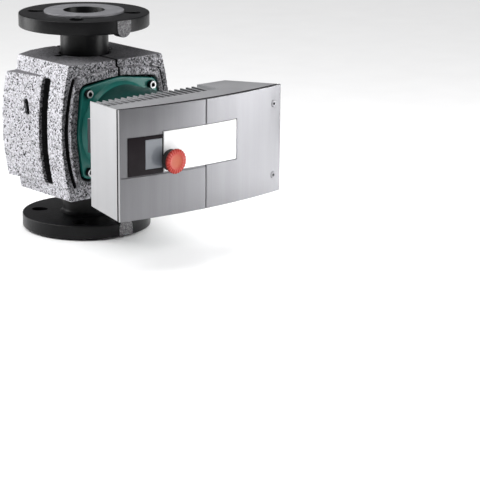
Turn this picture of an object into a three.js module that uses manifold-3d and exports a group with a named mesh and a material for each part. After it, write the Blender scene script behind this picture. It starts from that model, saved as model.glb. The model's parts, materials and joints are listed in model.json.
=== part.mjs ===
// Flanged in-line circulator pump with a canned-rotor motor and an electronic control module.
// Units are millimetres, +Z is up along the pipe and the motor axis points to -Y.
// The pump is modelled about the middle of its pipe length, then lifted so that the
// origin is the centre of the lower (inlet) flange face.
import * as THREE from 'three';
import { mergeVertices } from 'three/addons/utils/BufferGeometryUtils.js';
import Module from 'manifold-3d';

const wasm = await Module();
wasm.setup();

// ---------- driving dimensions ----------

const GAP = 0.3; // left between pieces that touch

// pipe flanges
const PORT_TO_PORT = 280;
const FLANGE_R = 82.5;
const FLANGE_THICK = 17;
const FACE_R = 50.5;
const FACE_HEIGHT = 2.5;
const BORE_R = 25.5;
const NECK_R = 30.5;
const SLOT_INNER = { offset: 57.5, radius: 7 };
const SLOT_OUTER = { offset: 62.5, radius: 9 };
const BOSS = { radius: 11, z: 126.5, frontY: -82.8, depth: 12 };

// volute and wet parts, along the motor axis
const JOINT_Y = -66; // where the motor bolts on
const CHAMBER_R = 52;
const CHAMBER_BACK_Y = -38;
const VOLUTE_R = 60;
const SEAT_THICK = 12;
const O_RING = { radius: 55.5, wire: 1.1 };
const EYE_R = 23.3;
const IMPELLER_R = 44;
const IMPELLER_BACK_Y = -64;
const BLADE_COUNT = 6;
const SHAFT_R = 6;
const SHAFT_REAR_Y = -168;
const SHAFT_NOSE_Y = -36;

// motor
const LOBE_PITCH = 49.5; // half the screw spacing
const LOBE_R = 8.5;
const FLANGE_ROUND_R = 64.5;
const MOTOR_FLANGE_FRONT_Y = -72;
const MOTOR_R = 56;
const MOTOR_SHOULDER_Y = -160;
const MOTOR_TAIL_R = 45;
const MOTOR_BORE_R = 52;
const MOTOR_END_Y = -188;
const CAN = { outer: 29, inner: 28.2, rearY: -160 };
const CAN_CUP = { outer: 14.4, inner: 13.4, rearY: -172 };
const STATOR = { outer: 51.2, yoke: 43, tooth: 29.6, frontY: -95, rearY: -150 };
const TOOTH_COUNT = 6;
const ROTOR = { radius: 27, frontY: -95, rearY: -151 };
const SCREW = { shank: 3, head: 5, headLength: 6, length: 24, socket: 2.9, socketDepth: 3.5 };
const SPOT_FACE = { radius: 6.4, depth: 1 };

// insulation shell
const SHELL_HALF_HEIGHT = 86;
const SHELL_END_HALF_WIDTH = 72.5;
const SHELL_BULGE = 13;
const SHELL_FRONT_Y = -66;
const SHELL_COLLAR_Y = -71.5;
const SHELL_CORNER_Y = 43;
const SHELL_BACK_Y = 63;
const SHELL_SEAM = 2.2;
const SHELL_CLEARANCE = { sides: 1.4, lobes: 3.5 };
const LIFT_NOTCH = { innerX: 30, outerX: 44, frontY: -2, backY: 6, depth: 10 };
const GRIP_SLOT = { bottomX: 71, frontY: -34, backY: -21, low: -68, high: 65 };
const SIDE_SLOT = { y: 0.9, z: 27, halfWidth: 2.2, halfLength: 10, floorX: 83, lean: -14 };
const COLLAR = {
  x: 64,
  z: 68,
  bulge: 87,
  topZ: 77,
  grooveX: 67.5,
  grooveZ: 70,
  grooveBulge: 92.5,
  grooveDepth: 14,
};

// control module
const MODULE_X = -6;
const MODULE_HALF_WIDTH = 124.5;
const MODULE_HALF_HEIGHT = 66.5;
const MODULE_EDGE_Y = -240;
const MODULE_BOW = 12.5;
const MODULE_BACK_Y = -166;
const MODULE_BACK_LEFT = -116.5;
const MODULE_BACK_RIGHT = 92;
const MODULE_DRAFT = 0.04; // loss of half height for each millimetre towards the back
const WALL = 3;
const COVER = 3;
const SEAM_X = -11;
const FIN_BAY = { frontY: -208, rightX: 47 };
const FIN = { count: 17, firstX: -107.5, pitch: 9.1, thick: 2.5, tipY: -167.5, topZ: 62.5 };
const WINDOW = { left: -119.5, right: -72.8, bottom: -14, top: 32 };
const PANEL = { left: -72.2, right: 37.4, bottom: -12.5, top: 35.3 };
const RECESS = { depth: 1.5, margin: 1.2 };
const LCD = { left: -96.7, right: -74, bottom: -7.5, top: 27.5 };
const KNOB = {
  x: -66.3,
  z: 1.4,
  radius: 15,
  capDepth: 3.2,
  skirtRadius: 12.8,
  rimChamfer: 0.8,
  frontY: -265.5,
  backY: -252.9,
  socketRadius: 3.3,
  socketFloor: 5,
};
const GRIP_COUNT = 12;
const COVER_SCREW = { x: 104.5, z: 44.6 };
const LUG = { left: -116.3, right: -109.2, frontY: -176, backY: -160, bottom: 1, top: 42 };
const GLAND_Y = -189;

// ---------- colours ----------

function paint(color, roughness, metalness) {
  return new THREE.MeshStandardMaterial({ color, roughness, metalness });
}

const COATED_IRON = () => paint(0x1f1f21, 0.45, 0.3);
const STEEL = () => paint(0xb8b8bb, 0.35, 0.9);
const STAINLESS = () => paint(0xc6c8ca, 0.3, 0.95);
const CARBON = () => paint(0x2b2b2e, 0.6, 0.1);
const RUBBER = () => paint(0x161616, 0.8, 0);
const GREEN_PAINT = () => paint(0x1d6b5c, 0.4, 0.1);
const FOAM = () => paint(0xc9c9cb, 0.95, 0);
const COPPER = () => paint(0xb5673a, 0.4, 0.8);
const ALUMINIUM = () => paint(0xa9aaae, 0.45, 0.8);
const BRUSHED = () => paint(0xb9babd, 0.35, 0.85);
const BLACK_PLASTIC = () => paint(0x1c1a1d, 0.5, 0);
const RED_PLASTIC = () => paint(0xc8402c, 0.4, 0);
const WHITE_PANEL = () => paint(0xf4f4f4, 0.5, 0);
const LCD_GREY = () => paint(0x767a82, 0.3, 0);
const BOARD_GREEN = () => paint(0x1f5a34, 0.6, 0);

// ---------- solids ----------

function isInsideOut(geometry) {
  const p = geometry.attributes.position;
  const index = geometry.index.array;
  const corners = [new THREE.Vector3(), new THREE.Vector3(), new THREE.Vector3()];
  let volume = 0;
  for (let i = 0; i < index.length; i += 3) {
    corners.forEach((corner, k) => corner.fromBufferAttribute(p, index[i + k]));
    volume += corners[0].dot(corners[1].clone().cross(corners[2]));
  }
  return volume < 0;
}

function solid(geometry) {
  const bare = geometry.clone();
  bare.deleteAttribute('normal');
  bare.deleteAttribute('uv');
  const merged = mergeVertices(bare, 1e-4);
  const triVerts = new Uint32Array(merged.index.array);
  if (isInsideOut(merged)) triVerts.reverse();
  const vertProperties = new Float32Array(merged.attributes.position.array);
  return new wasm.Manifold(new wasm.Mesh({ numProp: 3, vertProperties, triVerts }));
}

function union(solids) {
  return solids.reduce((sum, next) => sum.add(next));
}

function toGeometry(body) {
  const { vertProperties, triVerts } = body.getMesh();
  const geometry = new THREE.BufferGeometry();
  geometry.setAttribute('position', new THREE.BufferAttribute(new Float32Array(vertProperties), 3));
  geometry.setIndex(new THREE.BufferAttribute(new Uint32Array(triVerts), 1));
  geometry.computeVertexNormals();
  return geometry;
}

// a block given by its low and high corners
function block(low, high) {
  const size = high.map((value, i) => value - low[i]);
  const centre = high.map((value, i) => (value + low[i]) / 2);
  return solid(new THREE.BoxGeometry(...size).translate(...centre));
}

// a profile of [radius, height] points turned about the motor axis (Y)
function turnedY(profile, segments = 32) {
  const points = profile.map(([r, y]) => new THREE.Vector2(r, y));
  return solid(new THREE.LatheGeometry(points, segments));
}

// a profile of [radius, height] points turned about the pipe axis (Z)
function turnedZ(profile, segments = 32) {
  const points = profile.map(([r, z]) => new THREE.Vector2(r, z));
  return solid(new THREE.LatheGeometry(points, segments).rotateX(Math.PI / 2));
}

function discY(radius, fromY, toY, segments = 32) {
  return turnedY([[0, fromY], [radius, fromY], [radius, toY], [0, toY]], segments);
}

function ringY(inner, outer, fromY, toY, segments = 32) {
  const profile = [[inner, fromY], [outer, fromY], [outer, toY], [inner, toY], [inner, fromY]];
  return turnedY(profile, segments);
}

function discZ(radius, fromZ, toZ, segments = 32) {
  return turnedZ([[0, fromZ], [radius, fromZ], [radius, toZ], [0, toZ]], segments);
}

// a shape drawn in X and Y, standing between two heights
function prismZ(shape, fromZ, toZ, curveSegments = 24) {
  const options = { depth: toZ - fromZ, bevelEnabled: false, curveSegments };
  return solid(new THREE.ExtrudeGeometry(shape, options).translate(0, 0, fromZ));
}

// a shape drawn in X and Z (seen from the front), reaching from frontY back to backY
function prismY(shape, frontY, backY, curveSegments = 12) {
  const options = { depth: backY - frontY, bevelEnabled: false, curveSegments };
  const geometry = new THREE.ExtrudeGeometry(shape, options).rotateX(Math.PI / 2);
  return solid(geometry.translate(0, backY, 0));
}

function polygon(points) {
  return new THREE.Shape(points.map(([x, y]) => new THREE.Vector2(x, y)));
}

function sweptTube(path, radius) {
  const section = new THREE.Shape();
  section.absarc(0, 0, radius, 0, Math.PI * 2);
  const options = { steps: 8, extrudePath: path, curveSegments: 8, bevelEnabled: false };
  return solid(new THREE.ExtrudeGeometry(section, options));
}

// ---------- the assembly ----------

const pump = new THREE.Group();
pump.position.z = PORT_TO_PORT / 2;

function addPiece(name, body, material) {
  const piece = new THREE.Mesh(toGeometry(body), material);
  piece.name = name;
  pump.add(piece);
  return piece;
}

function cornerPlaces() {
  const signs = [[-1, 1], [1, 1], [1, -1], [-1, -1]];
  return signs.map(([sx, sz]) => ({ x: sx * LOBE_PITCH, z: sz * LOBE_PITCH }));
}

// ---------- pump housing ----------

function flangeProfile() {
  const top = PORT_TO_PORT / 2;
  const rimTop = top - FACE_HEIGHT;
  const rimBottom = rimTop - FLANGE_THICK;
  return [
    [0, 60], [NECK_R, 60], [NECK_R, rimBottom - 4], [NECK_R + 1.2, rimBottom - 1.2], [NECK_R + 4, rimBottom],
    [FLANGE_R - 1, rimBottom], [FLANGE_R, rimBottom + 1], [FLANGE_R, rimTop - 1], [FLANGE_R - 1, rimTop],
    [FACE_R, rimTop], [FACE_R, top], [0, top],
  ];
}

// a slot that takes the bolts of two pressure ratings
function boltSlots() {
  const slots = [];
  const top = PORT_TO_PORT / 2;
  const inner = SLOT_INNER.offset;
  const outer = SLOT_OUTER.offset;
  const lean = Math.asin((SLOT_OUTER.radius - SLOT_INNER.radius) / (outer - inner));
  const shape = new THREE.Shape();
  shape.absarc(outer, 0, SLOT_OUTER.radius, -Math.PI / 2 - lean, Math.PI / 2 + lean, false);
  shape.absarc(inner, 0, SLOT_INNER.radius, Math.PI / 2 + lean, (3 * Math.PI) / 2 - lean, false);
  const options = { depth: FLANGE_THICK + 8, bevelEnabled: false, curveSegments: 4 };
  for (let quarter = 0; quarter < 4; quarter += 1) {
    const slot = new THREE.ExtrudeGeometry(shape, options);
    slot.translate(0, 0, top - FACE_HEIGHT - FLANGE_THICK - 4);
    slots.push(solid(slot.rotateZ(Math.PI / 4 + (quarter * Math.PI) / 2)));
  }
  return union(slots);
}

// the flat boss on the rim that carries a plugged pressure tapping
function tappingBoss() {
  const shape = new THREE.Shape();
  const rimTop = PORT_TO_PORT / 2 - FACE_HEIGHT;
  shape.moveTo(-BOSS.radius, rimTop);
  shape.lineTo(-BOSS.radius, BOSS.z);
  shape.absarc(0, BOSS.z, BOSS.radius, Math.PI, 2 * Math.PI, false);
  shape.lineTo(BOSS.radius, rimTop);
  return prismY(shape, BOSS.frontY, BOSS.frontY + BOSS.depth, 8);
}

function upperFlange() {
  return turnedZ(flangeProfile()).add(tappingBoss()).subtract(boltSlots());
}

function mirrored(body, normal) {
  return body.mirror(normal);
}

// the screw seat and the motor flange share this rounded, four-lobed outline
function lobedOutline(extra = 0, lobeExtra = 0) {
  const big = FLANGE_ROUND_R + extra;
  const small = LOBE_R + lobeExtra;
  const reach = LOBE_PITCH * Math.SQRT2;
  const swing = Math.acos((big - small) / reach);
  const shape = new THREE.Shape();
  for (let corner = 0; corner < 4; corner += 1) {
    const middle = Math.PI / 4 + (corner * Math.PI) / 2;
    const x = reach * Math.cos(middle);
    const y = reach * Math.sin(middle);
    shape.absarc(x, y, small, middle - swing, middle + swing, false);
    const next = middle + Math.PI / 2;
    shape.absarc(0, 0, big, middle + swing, next - swing, false);
  }
  return shape;
}

function dischargePath() {
  return new THREE.CatmullRomCurve3([
    new THREE.Vector3(0, -52, 30),
    new THREE.Vector3(0, -48, 44),
    new THREE.Vector3(0, -34, 54),
    new THREE.Vector3(0, -16, 62),
    new THREE.Vector3(0, -3, 76),
    new THREE.Vector3(0, 0, 95),
  ]);
}

function castBody() {
  const suction = solid(new THREE.SphereGeometry(32, 16, 8).rotateX(Math.PI / 2));
  const voluteBack = turnedY([
    [0, JOINT_Y], [VOLUTE_R, JOINT_Y], [VOLUTE_R, CHAMBER_BACK_Y + 8], [34, -16], [0, -16],
  ]);
  const seat = prismY(lobedOutline(), JOINT_Y, JOINT_Y + SEAT_THICK, 3);
  const neckCores = discZ(NECK_R, -62, 0);
  const bend = sweptTube(dischargePath(), 18).subtract(block([-30, -120, 0], [30, JOINT_Y, 100]));
  return union([suction, voluteBack, seat, neckCores, bend]);
}

function waterways() {
  const top = PORT_TO_PORT / 2;
  const bottomBore = discZ(BORE_R, -top - 1, 0);
  const bend = solid(new THREE.SphereGeometry(BORE_R, 16, 8).rotateX(Math.PI / 2));
  const eye = discY(EYE_R, CHAMBER_BACK_Y - 1, -18, 32);
  const chamber = discY(CHAMBER_R, JOINT_Y - 1, CHAMBER_BACK_Y);
  const rise = sweptTube(dischargePath(), 13);
  const topBore = turnedZ([[0, 80], [13, 80], [BORE_R, 98], [BORE_R, top + 1], [0, top + 1]]);
  return union([bottomBore, bend, eye, chamber, rise, topBore]);
}

function screwHoles() {
  const holes = cornerPlaces().map(({ x, z }) =>
    discY(SCREW.shank + GAP, JOINT_Y - 1, JOINT_Y + SEAT_THICK + 1, 12).translate(x, 0, z));
  return union(holes);
}

function pumpHousing() {
  const groove = ringY(O_RING.radius - 1.7, O_RING.radius + 1.7, JOINT_Y - 1, JOINT_Y + 3);
  const lower = mirrored(upperFlange(), [0, 0, 1]);
  const casting = union([upperFlange(), lower, castBody()]);
  return casting.subtract(waterways()).subtract(groove).subtract(screwHoles());
}

// ---------- rotating parts ----------

function impellerBlades() {
  const blades = [];
  for (let i = 0; i < BLADE_COUNT; i += 1) {
    const shape = new THREE.Shape();
    shape.absarc(10, 22, 26, -Math.PI * 0.5, -Math.PI * 0.02, false);
    shape.absarc(10, 22, 28.4, -Math.PI * 0.02, -Math.PI * 0.5, true);
    blades.push(prismY(shape, -62, -42, 5).rotate([0, (360 / BLADE_COUNT) * i, 0]));
  }
  return union(blades);
}

function impeller() {
  const hub = discY(12, IMPELLER_BACK_Y, -44, 24);
  const backDisc = discY(IMPELLER_R, IMPELLER_BACK_Y, IMPELLER_BACK_Y + 3, 32);
  const underShroud = turnedY([[0, -62], [IMPELLER_R, -62], [IMPELLER_R, -50], [22, -42], [0, -42]], 32);
  const shroud = turnedY([
    [IMPELLER_R, -51], [IMPELLER_R, -49], [23, -40.5], [20.5, -38], [20.5, -33],
    [18.5, -33], [18.5, -41], [IMPELLER_R, -51],
  ], 32);
  const blades = impellerBlades().intersect(underShroud);
  return union([hub, backDisc, shroud, blades]).subtract(discY(SHAFT_R + GAP, -70, -30, 20));
}

function hexNutY(acrossCorners, bore, fromY, toY) {
  return discY(acrossCorners, fromY, toY, 6).subtract(discY(bore, fromY - 1, toY + 1, 20));
}

function addRotatingParts() {
  addPiece('impeller', impeller(), STAINLESS());
  addPiece('impeller_nut', hexNutY(9, SHAFT_R + GAP, -43.7, -38.5), STAINLESS());
  addPiece('shaft', discY(SHAFT_R, SHAFT_REAR_Y + 2, SHAFT_NOSE_Y, 20), STAINLESS());
  addPiece('rotor_core', ringY(SHAFT_R + GAP, ROTOR.radius, ROTOR.rearY, ROTOR.frontY, 32), CARBON());
}

function addWetStationaryParts() {
  addPiece('wear_ring', ringY(21.3, EYE_R - GAP, CHAMBER_BACK_Y + 0.4, -29, 32), STAINLESS());
  const wire = new THREE.TorusGeometry(O_RING.radius, O_RING.wire, 6, 36).rotateX(Math.PI / 2);
  addPiece('housing_o_ring', solid(wire).translate(0, JOINT_Y + 1.3, 0), RUBBER());
  const plate = turnedY([
    [12.3, -90], [16, -90], [16, -70.5], [MOTOR_BORE_R - 0.5, -69.3], [MOTOR_BORE_R - 0.5, -66.6],
    [8, -66.6], [8, -70], [12.3, -70], [12.3, -90],
  ], 32);
  addPiece('bearing_plate', plate, STAINLESS());
  addPiece('front_bearing', ringY(SHAFT_R + 0.5, 12, -88, -71, 24), CARBON());
  addPiece('rear_bearing', ringY(SHAFT_R + 0.5, CAN_CUP.inner - 0.4, -170, -159, 24), CARBON());
  addPiece('rotor_can', rotorCan(), STAINLESS());
}

function rotorCan() {
  return turnedY([
    [MOTOR_BORE_R - 0.5, -69.7], [CAN.inner, -69.7 - 0.8], [CAN.inner, CAN.rearY + 1],
    [CAN_CUP.inner, CAN.rearY], [CAN_CUP.inner, CAN_CUP.rearY + 1], [0, CAN_CUP.rearY + 1],
    [0, CAN_CUP.rearY], [CAN_CUP.outer, CAN_CUP.rearY], [CAN_CUP.outer, CAN.rearY - 1],
    [CAN.outer, CAN.rearY], [CAN.outer, -71.7], [MOTOR_BORE_R - 0.5, -71.2], [MOTOR_BORE_R - 0.5, -69.7],
  ], 32);
}

// ---------- motor ----------

function motorHousing() {
  const flange = prismY(lobedOutline(), MOTOR_FLANGE_FRONT_Y, JOINT_Y - GAP, 4);
  const barrel = turnedY([
    [0, MOTOR_END_Y], [MOTOR_TAIL_R, MOTOR_END_Y], [MOTOR_TAIL_R, MOTOR_SHOULDER_Y - 4],
    [MOTOR_R, MOTOR_SHOULDER_Y], [MOTOR_R, JOINT_Y - GAP], [0, JOINT_Y - GAP],
  ]);
  const bore = turnedY([
    [0, MOTOR_END_Y + 5], [MOTOR_TAIL_R - 5, MOTOR_END_Y + 5], [MOTOR_TAIL_R - 5, MOTOR_SHOULDER_Y - 4],
    [MOTOR_BORE_R, MOTOR_SHOULDER_Y + 1], [MOTOR_BORE_R, JOINT_Y + 1], [0, JOINT_Y + 1],
  ]);
  const canSeat = ringY(46, MOTOR_BORE_R + 1, -90, -72);
  const leadHole = discY(8, MOTOR_END_Y - 1, MOTOR_END_Y + 6, 16).translate(0, 0, -34);
  const holes = cornerPlaces().map(({ x, z }) =>
    discY(SCREW.shank + GAP, MOTOR_FLANGE_FRONT_Y - 1, JOINT_Y + 1, 12).translate(x, 0, z));
  const seatY = MOTOR_FLANGE_FRONT_Y + SPOT_FACE.depth;
  const spotFaces = cornerPlaces().map(({ x, z }) =>
    discY(SPOT_FACE.radius, seatY - 20, seatY, 16).translate(x, 0, z));
  const shell = flange.add(barrel).subtract(bore.subtract(canSeat));
  return shell.subtract(leadHole).subtract(union(holes)).subtract(union(spotFaces));
}

function socketScrew() {
  const seatY = MOTOR_FLANGE_FRONT_Y + SPOT_FACE.depth - GAP;
  const headFront = seatY - SCREW.headLength;
  const shank = discY(SCREW.shank, headFront + SCREW.socketDepth + 1, seatY + SCREW.length, 12);
  const head = discY(SCREW.head, headFront, seatY, 16);
  return shank.add(head).subtract(discY(SCREW.socket, headFront - 1, headFront + SCREW.socketDepth, 6));
}

function addMotorScrews() {
  cornerPlaces().forEach(({ x, z }, i) => {
    addPiece(`motor_screw_${i + 1}`, socketScrew(), STEEL()).position.set(x, 0, z);
  });
}

function statorCore() {
  const yoke = ringY(STATOR.yoke, STATOR.outer, STATOR.rearY, STATOR.frontY, 48);
  const teeth = [];
  for (let i = 0; i < TOOTH_COUNT; i += 1) {
    const tooth = block([-6, STATOR.rearY, 33], [6, STATOR.frontY, STATOR.yoke + 2]);
    const shoe = block([-12, STATOR.rearY, 29], [12, STATOR.frontY, 34]);
    teeth.push(tooth.add(shoe).rotate([0, (360 / TOOTH_COUNT) * i, 0]));
  }
  const bore = discY(STATOR.tooth, STATOR.rearY - 1, STATOR.frontY + 1, 40);
  return yoke.add(union(teeth)).subtract(bore);
}

function statorCoil() {
  const outer = block([-10.5, STATOR.rearY - 5, 34.4], [10.5, STATOR.frontY + 5, 41.2]);
  return outer.subtract(block([-6.4, STATOR.rearY - 0.4, 30], [6.4, STATOR.frontY + 0.4, 50]));
}

function addMotor() {
  addPiece('motor_housing', motorHousing(), GREEN_PAINT());
  addMotorScrews();
  addPiece('stator_core', statorCore(), STEEL());
  for (let i = 0; i < TOOTH_COUNT; i += 1) {
    const coil = addPiece(`stator_coil_${i + 1}`, statorCoil(), COPPER());
    coil.rotation.y = (Math.PI * 2 * i) / TOOTH_COUNT;
  }
}

// ---------- insulation shell ----------

// front view of a shell whose sides bulge outwards at mid height
function barrelOutline(endHalfWidth, halfHeight) {
  const radius = (SHELL_HALF_HEIGHT ** 2 + SHELL_BULGE ** 2) / (2 * SHELL_BULGE);
  const centreX = endHalfWidth + SHELL_BULGE - radius;
  const angle = Math.asin(halfHeight / radius);
  const shape = new THREE.Shape();
  shape.absarc(centreX, 0, radius, -angle, angle, false);
  shape.lineTo(0, halfHeight);
  shape.lineTo(0, -halfHeight);
  return shape;
}

function shellPlan() {
  const side = SHELL_END_HALF_WIDTH + SHELL_BULGE + 5;
  return polygon([
    [0, SHELL_FRONT_Y], [side, SHELL_FRONT_Y], [side, SHELL_CORNER_Y - 12],
    [SHELL_END_HALF_WIDTH, SHELL_CORNER_Y], [45, 57], [20, SHELL_BACK_Y - 1], [0, SHELL_BACK_Y],
  ]);
}

// the grip pad on the side grows thicker towards the back
function gripPad() {
  const pad = barrelOutline(SHELL_END_HALF_WIDTH + 1.5, 67);
  const options = { depth: 64, bevelEnabled: false, curveSegments: 16 };
  const geometry = new THREE.ExtrudeGeometry(pad, options).rotateX(Math.PI / 2).translate(0, 42, 0);
  const p = geometry.attributes.position;
  for (let i = 0; i < p.count; i += 1) {
    if (p.getX(i) > 1) p.setX(i, p.getX(i) + 0.2 * (p.getY(i) + 22));
  }
  return solid(geometry).intersect(block([50, -30, -70], [120, 50, 70]));
}

function collar() {
  const shape = new THREE.Shape();
  const { x, z, bulge, topZ } = COLLAR;
  shape.moveTo(0, -topZ);
  shape.quadraticCurveTo(x / 2, 1 - topZ, x, -z);
  shape.quadraticCurveTo(bulge, 0, x, z);
  shape.quadraticCurveTo(x / 2, topZ - 1, 0, topZ);
  return prismY(shape, SHELL_COLLAR_Y, SHELL_FRONT_Y + 20, 10);
}

function collarGroove() {
  const shape = new THREE.Shape();
  const { x, z, bulge, grooveX, grooveZ, grooveBulge, grooveDepth } = COLLAR;
  shape.moveTo(x, -z);
  shape.quadraticCurveTo(bulge, 0, x, z);
  shape.lineTo(grooveX, grooveZ);
  shape.quadraticCurveTo(grooveBulge, 0, grooveX, -grooveZ);
  return prismY(shape, SHELL_COLLAR_Y - 5, SHELL_FRONT_Y + grooveDepth, 10);
}

function shellHollow() {
  const motorSide = prismY(lobedOutline(SHELL_CLEARANCE.sides, SHELL_CLEARANCE.lobes), -90, -14, 4);
  const suctionSide = block([-37, -24, -74], [37, 38, 74]);
  const bendSide = block([-24, -62, 0], [24, -20, 77]);
  const neck = discZ(NECK_R + 0.8, -SHELL_HALF_HEIGHT - 1, SHELL_HALF_HEIGHT + 1);
  const { innerX, outerX, frontY, backY, depth } = LIFT_NOTCH;
  const notch = block([innerX, frontY, SHELL_HALF_HEIGHT - depth], [outerX, backY, SHELL_HALF_HEIGHT + 1]);
  return union([motorSide, suctionSide, bendSide, neck, notch]);
}

// the deep slot in front of the grip pad
function gripSlot() {
  const { bottomX, frontY, backY, low, high } = GRIP_SLOT;
  return block([bottomX, frontY, low], [bottomX + 50, backY, high]);
}

// a short leaning slot in the face of the grip pad
function sideSlot() {
  const { y, z, halfWidth, halfLength, floorX, lean } = SIDE_SLOT;
  const cutter = block([0, -halfWidth, -halfLength], [30, halfWidth, halfLength]);
  return cutter.rotate([lean, 0, 0]).translate(floorX, y, z);
}

function shellHalf() {
  const barrel = prismY(barrelOutline(SHELL_END_HALF_WIDTH, SHELL_HALF_HEIGHT), -100, 100, 16);
  const body = prismZ(shellPlan(), -SHELL_HALF_HEIGHT, SHELL_HALF_HEIGHT).intersect(barrel);
  const whole = union([body, gripPad(), collar()]);
  const cuts = union([gripSlot(), sideSlot(), collarGroove(), shellHollow()]);
  const seam = block([-200, -200, -200], [SHELL_SEAM / 2, 200, 200]);
  return whole.subtract(cuts).subtract(seam);
}

function addInsulation() {
  addPiece('insulation_right', shellHalf(), FOAM());
  addPiece('insulation_left', mirrored(shellHalf(), [1, 0, 0]), FOAM());
}

// ---------- control module ----------

// the front of the module is a shallow arc seen from above
const BOW_R = (MODULE_HALF_WIDTH ** 2 + MODULE_BOW ** 2) / (2 * MODULE_BOW);
const BOW_Y = MODULE_EDGE_Y - MODULE_BOW + BOW_R;

function bowY(x, inset = 0) {
  return BOW_Y - Math.sqrt((BOW_R - inset) ** 2 - (x - MODULE_X) ** 2);
}

function addBow(shape, fromX, toX, inset) {
  const radius = BOW_R - inset;
  const from = Math.atan2(bowY(fromX, inset) - BOW_Y, fromX - MODULE_X);
  const to = Math.atan2(bowY(toX, inset) - BOW_Y, toX - MODULE_X);
  shape.absarc(MODULE_X, BOW_Y, radius, from, to, toX < fromX);
}

// a plate that follows the bow, between two depths below the cover's face
function bowedPlate(left, right, bottom, top, outerInset, innerInset) {
  const shape = new THREE.Shape();
  addBow(shape, left, right, outerInset);
  addBow(shape, right, left, innerInset);
  return prismZ(shape, bottom, top, 10);
}

// pulls the top and bottom together towards the back, as a cast housing's draft does
function drafted(shape, halfHeight) {
  const options = { depth: 2 * halfHeight, bevelEnabled: false, curveSegments: 16 };
  const geometry = new THREE.ExtrudeGeometry(shape, options).translate(0, 0, -halfHeight);
  const p = geometry.attributes.position;
  for (let i = 0; i < p.count; i += 1) {
    const loss = MODULE_DRAFT * Math.max(0, p.getY(i) - MODULE_EDGE_Y);
    p.setZ(i, p.getZ(i) - Math.sign(p.getZ(i)) * loss);
  }
  return solid(geometry);
}

function modulePlan(inset) {
  const shape = new THREE.Shape();
  const left = MODULE_X - MODULE_HALF_WIDTH + inset;
  const right = MODULE_X + MODULE_HALF_WIDTH - inset;
  addBow(shape, left, right, COVER + GAP);
  shape.lineTo(MODULE_BACK_RIGHT - inset, MODULE_BACK_Y);
  shape.lineTo(MODULE_BACK_LEFT + inset, MODULE_BACK_Y);
  return shape;
}

function controlHousing() {
  const outer = drafted(modulePlan(0), MODULE_HALF_HEIGHT);
  const inner = drafted(modulePlan(WALL), MODULE_HALF_HEIGHT - WALL);
  const boardSpace = inner.intersect(block([-200, -300, -100], [200, FIN_BAY.frontY - WALL - 1, 100]));
  const mouth = bowedPlate(-127, 115, -63, 63, -20, 12);
  const rightEnd = block([FIN_BAY.rightX + WALL, -213, -100], [200, MODULE_BACK_Y - WALL, 100]);
  const terminalSpace = inner.intersect(rightEnd);
  const finBay = polygon([
    [-122, FIN_BAY.frontY - 1], [FIN_BAY.rightX, FIN_BAY.frontY - 1],
    [FIN_BAY.rightX, MODULE_BACK_Y + 5], [MODULE_BACK_LEFT + WALL - 1, MODULE_BACK_Y + 5],
  ]);
  const glandHoles = glandPlaces().map((z) => glandAxis(discX(10.4, -18, 29), z));
  const hollows = union([boardSpace, mouth, terminalSpace, prismZ(finBay, -80, 80), ...glandHoles]);
  return outer.subtract(hollows).add(motorLug());
}

// a lug on the back of the left-hand wall that reaches towards the motor
function motorLug() {
  return block([LUG.left, LUG.frontY, LUG.bottom], [LUG.right, LUG.backY, LUG.top]);
}

function heatSink() {
  const base = block([-119, FIN_BAY.frontY - 0.6, -61], [FIN_BAY.rightX - 1, FIN_BAY.frontY + 5, 61]);
  const fins = [];
  for (let i = 0; i < FIN.count; i += 1) {
    const x = FIN.firstX + i * FIN.pitch;
    const low = [x - FIN.thick / 2, FIN_BAY.frontY + 4, -FIN.topZ];
    fins.push(block(low, [x + FIN.thick / 2, FIN.tipY, FIN.topZ]));
  }
  const motorRoom = discY(MOTOR_TAIL_R + 1.5, MOTOR_END_Y - 1, -150, 32);
  const leadHole = discY(8, FIN_BAY.frontY - 3, MOTOR_END_Y, 16).translate(0, 0, -34);
  return base.add(union(fins)).subtract(motorRoom).subtract(leadHole);
}

function coverPlate(left, right) {
  return bowedPlate(left, right, -MODULE_HALF_HEIGHT, MODULE_HALF_HEIGHT, 0, COVER);
}

function controlCover() {
  const left = MODULE_X - MODULE_HALF_WIDTH;
  const bottom = WINDOW.bottom - RECESS.margin;
  const top = PANEL.top + RECESS.margin;
  const windowRecess = bowedPlate(left + 1.5, SEAM_X + 20, bottom, top, -5, RECESS.depth);
  const windowHole = bowedPlate(LCD.left - 1, LCD.right + 1, LCD.bottom - 1, LCD.top + 1, -5, 10);
  const stemHole = discY(5, -270, -230, 20).translate(KNOB.x, 0, KNOB.z);
  return coverPlate(left, SEAM_X - 0.4).subtract(union([windowRecess, windowHole, stemHole]));
}

function terminalCover() {
  const right = MODULE_X + MODULE_HALF_WIDTH;
  const { margin, depth } = RECESS;
  const panelRecess = bowedPlate(
    SEAM_X - 20, PANEL.right + margin, PANEL.bottom - margin, PANEL.top + margin, -5, depth);
  const screwHole = discY(2.4, -260, -230, 12).add(discY(4.4, -260, bowY(COVER_SCREW.x) + 1.5, 16));
  const holes = [-COVER_SCREW.z, COVER_SCREW.z].map((z) => screwHole.translate(COVER_SCREW.x, 0, z));
  return coverPlate(SEAM_X + 0.4, right).subtract(union([panelRecess, ...holes]));
}

function coverScrew() {
  const face = bowY(COVER_SCREW.x);
  const head = discY(4, face - 1, face + 1.2, 16);
  const shank = discY(2, face, face + 14, 12);
  return head.add(shank).subtract(discY(1.6, face - 2, face + 0.3, 6));
}

function displayWindow() {
  const pane = bowedPlate(WINDOW.left, WINDOW.right, WINDOW.bottom, WINDOW.top, 0.4, 1.2);
  const lcdHole = bowedPlate(LCD.left - GAP, LCD.right + GAP, LCD.bottom - GAP, LCD.top + GAP, -5, 5);
  return pane.subtract(lcdHole);
}

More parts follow.
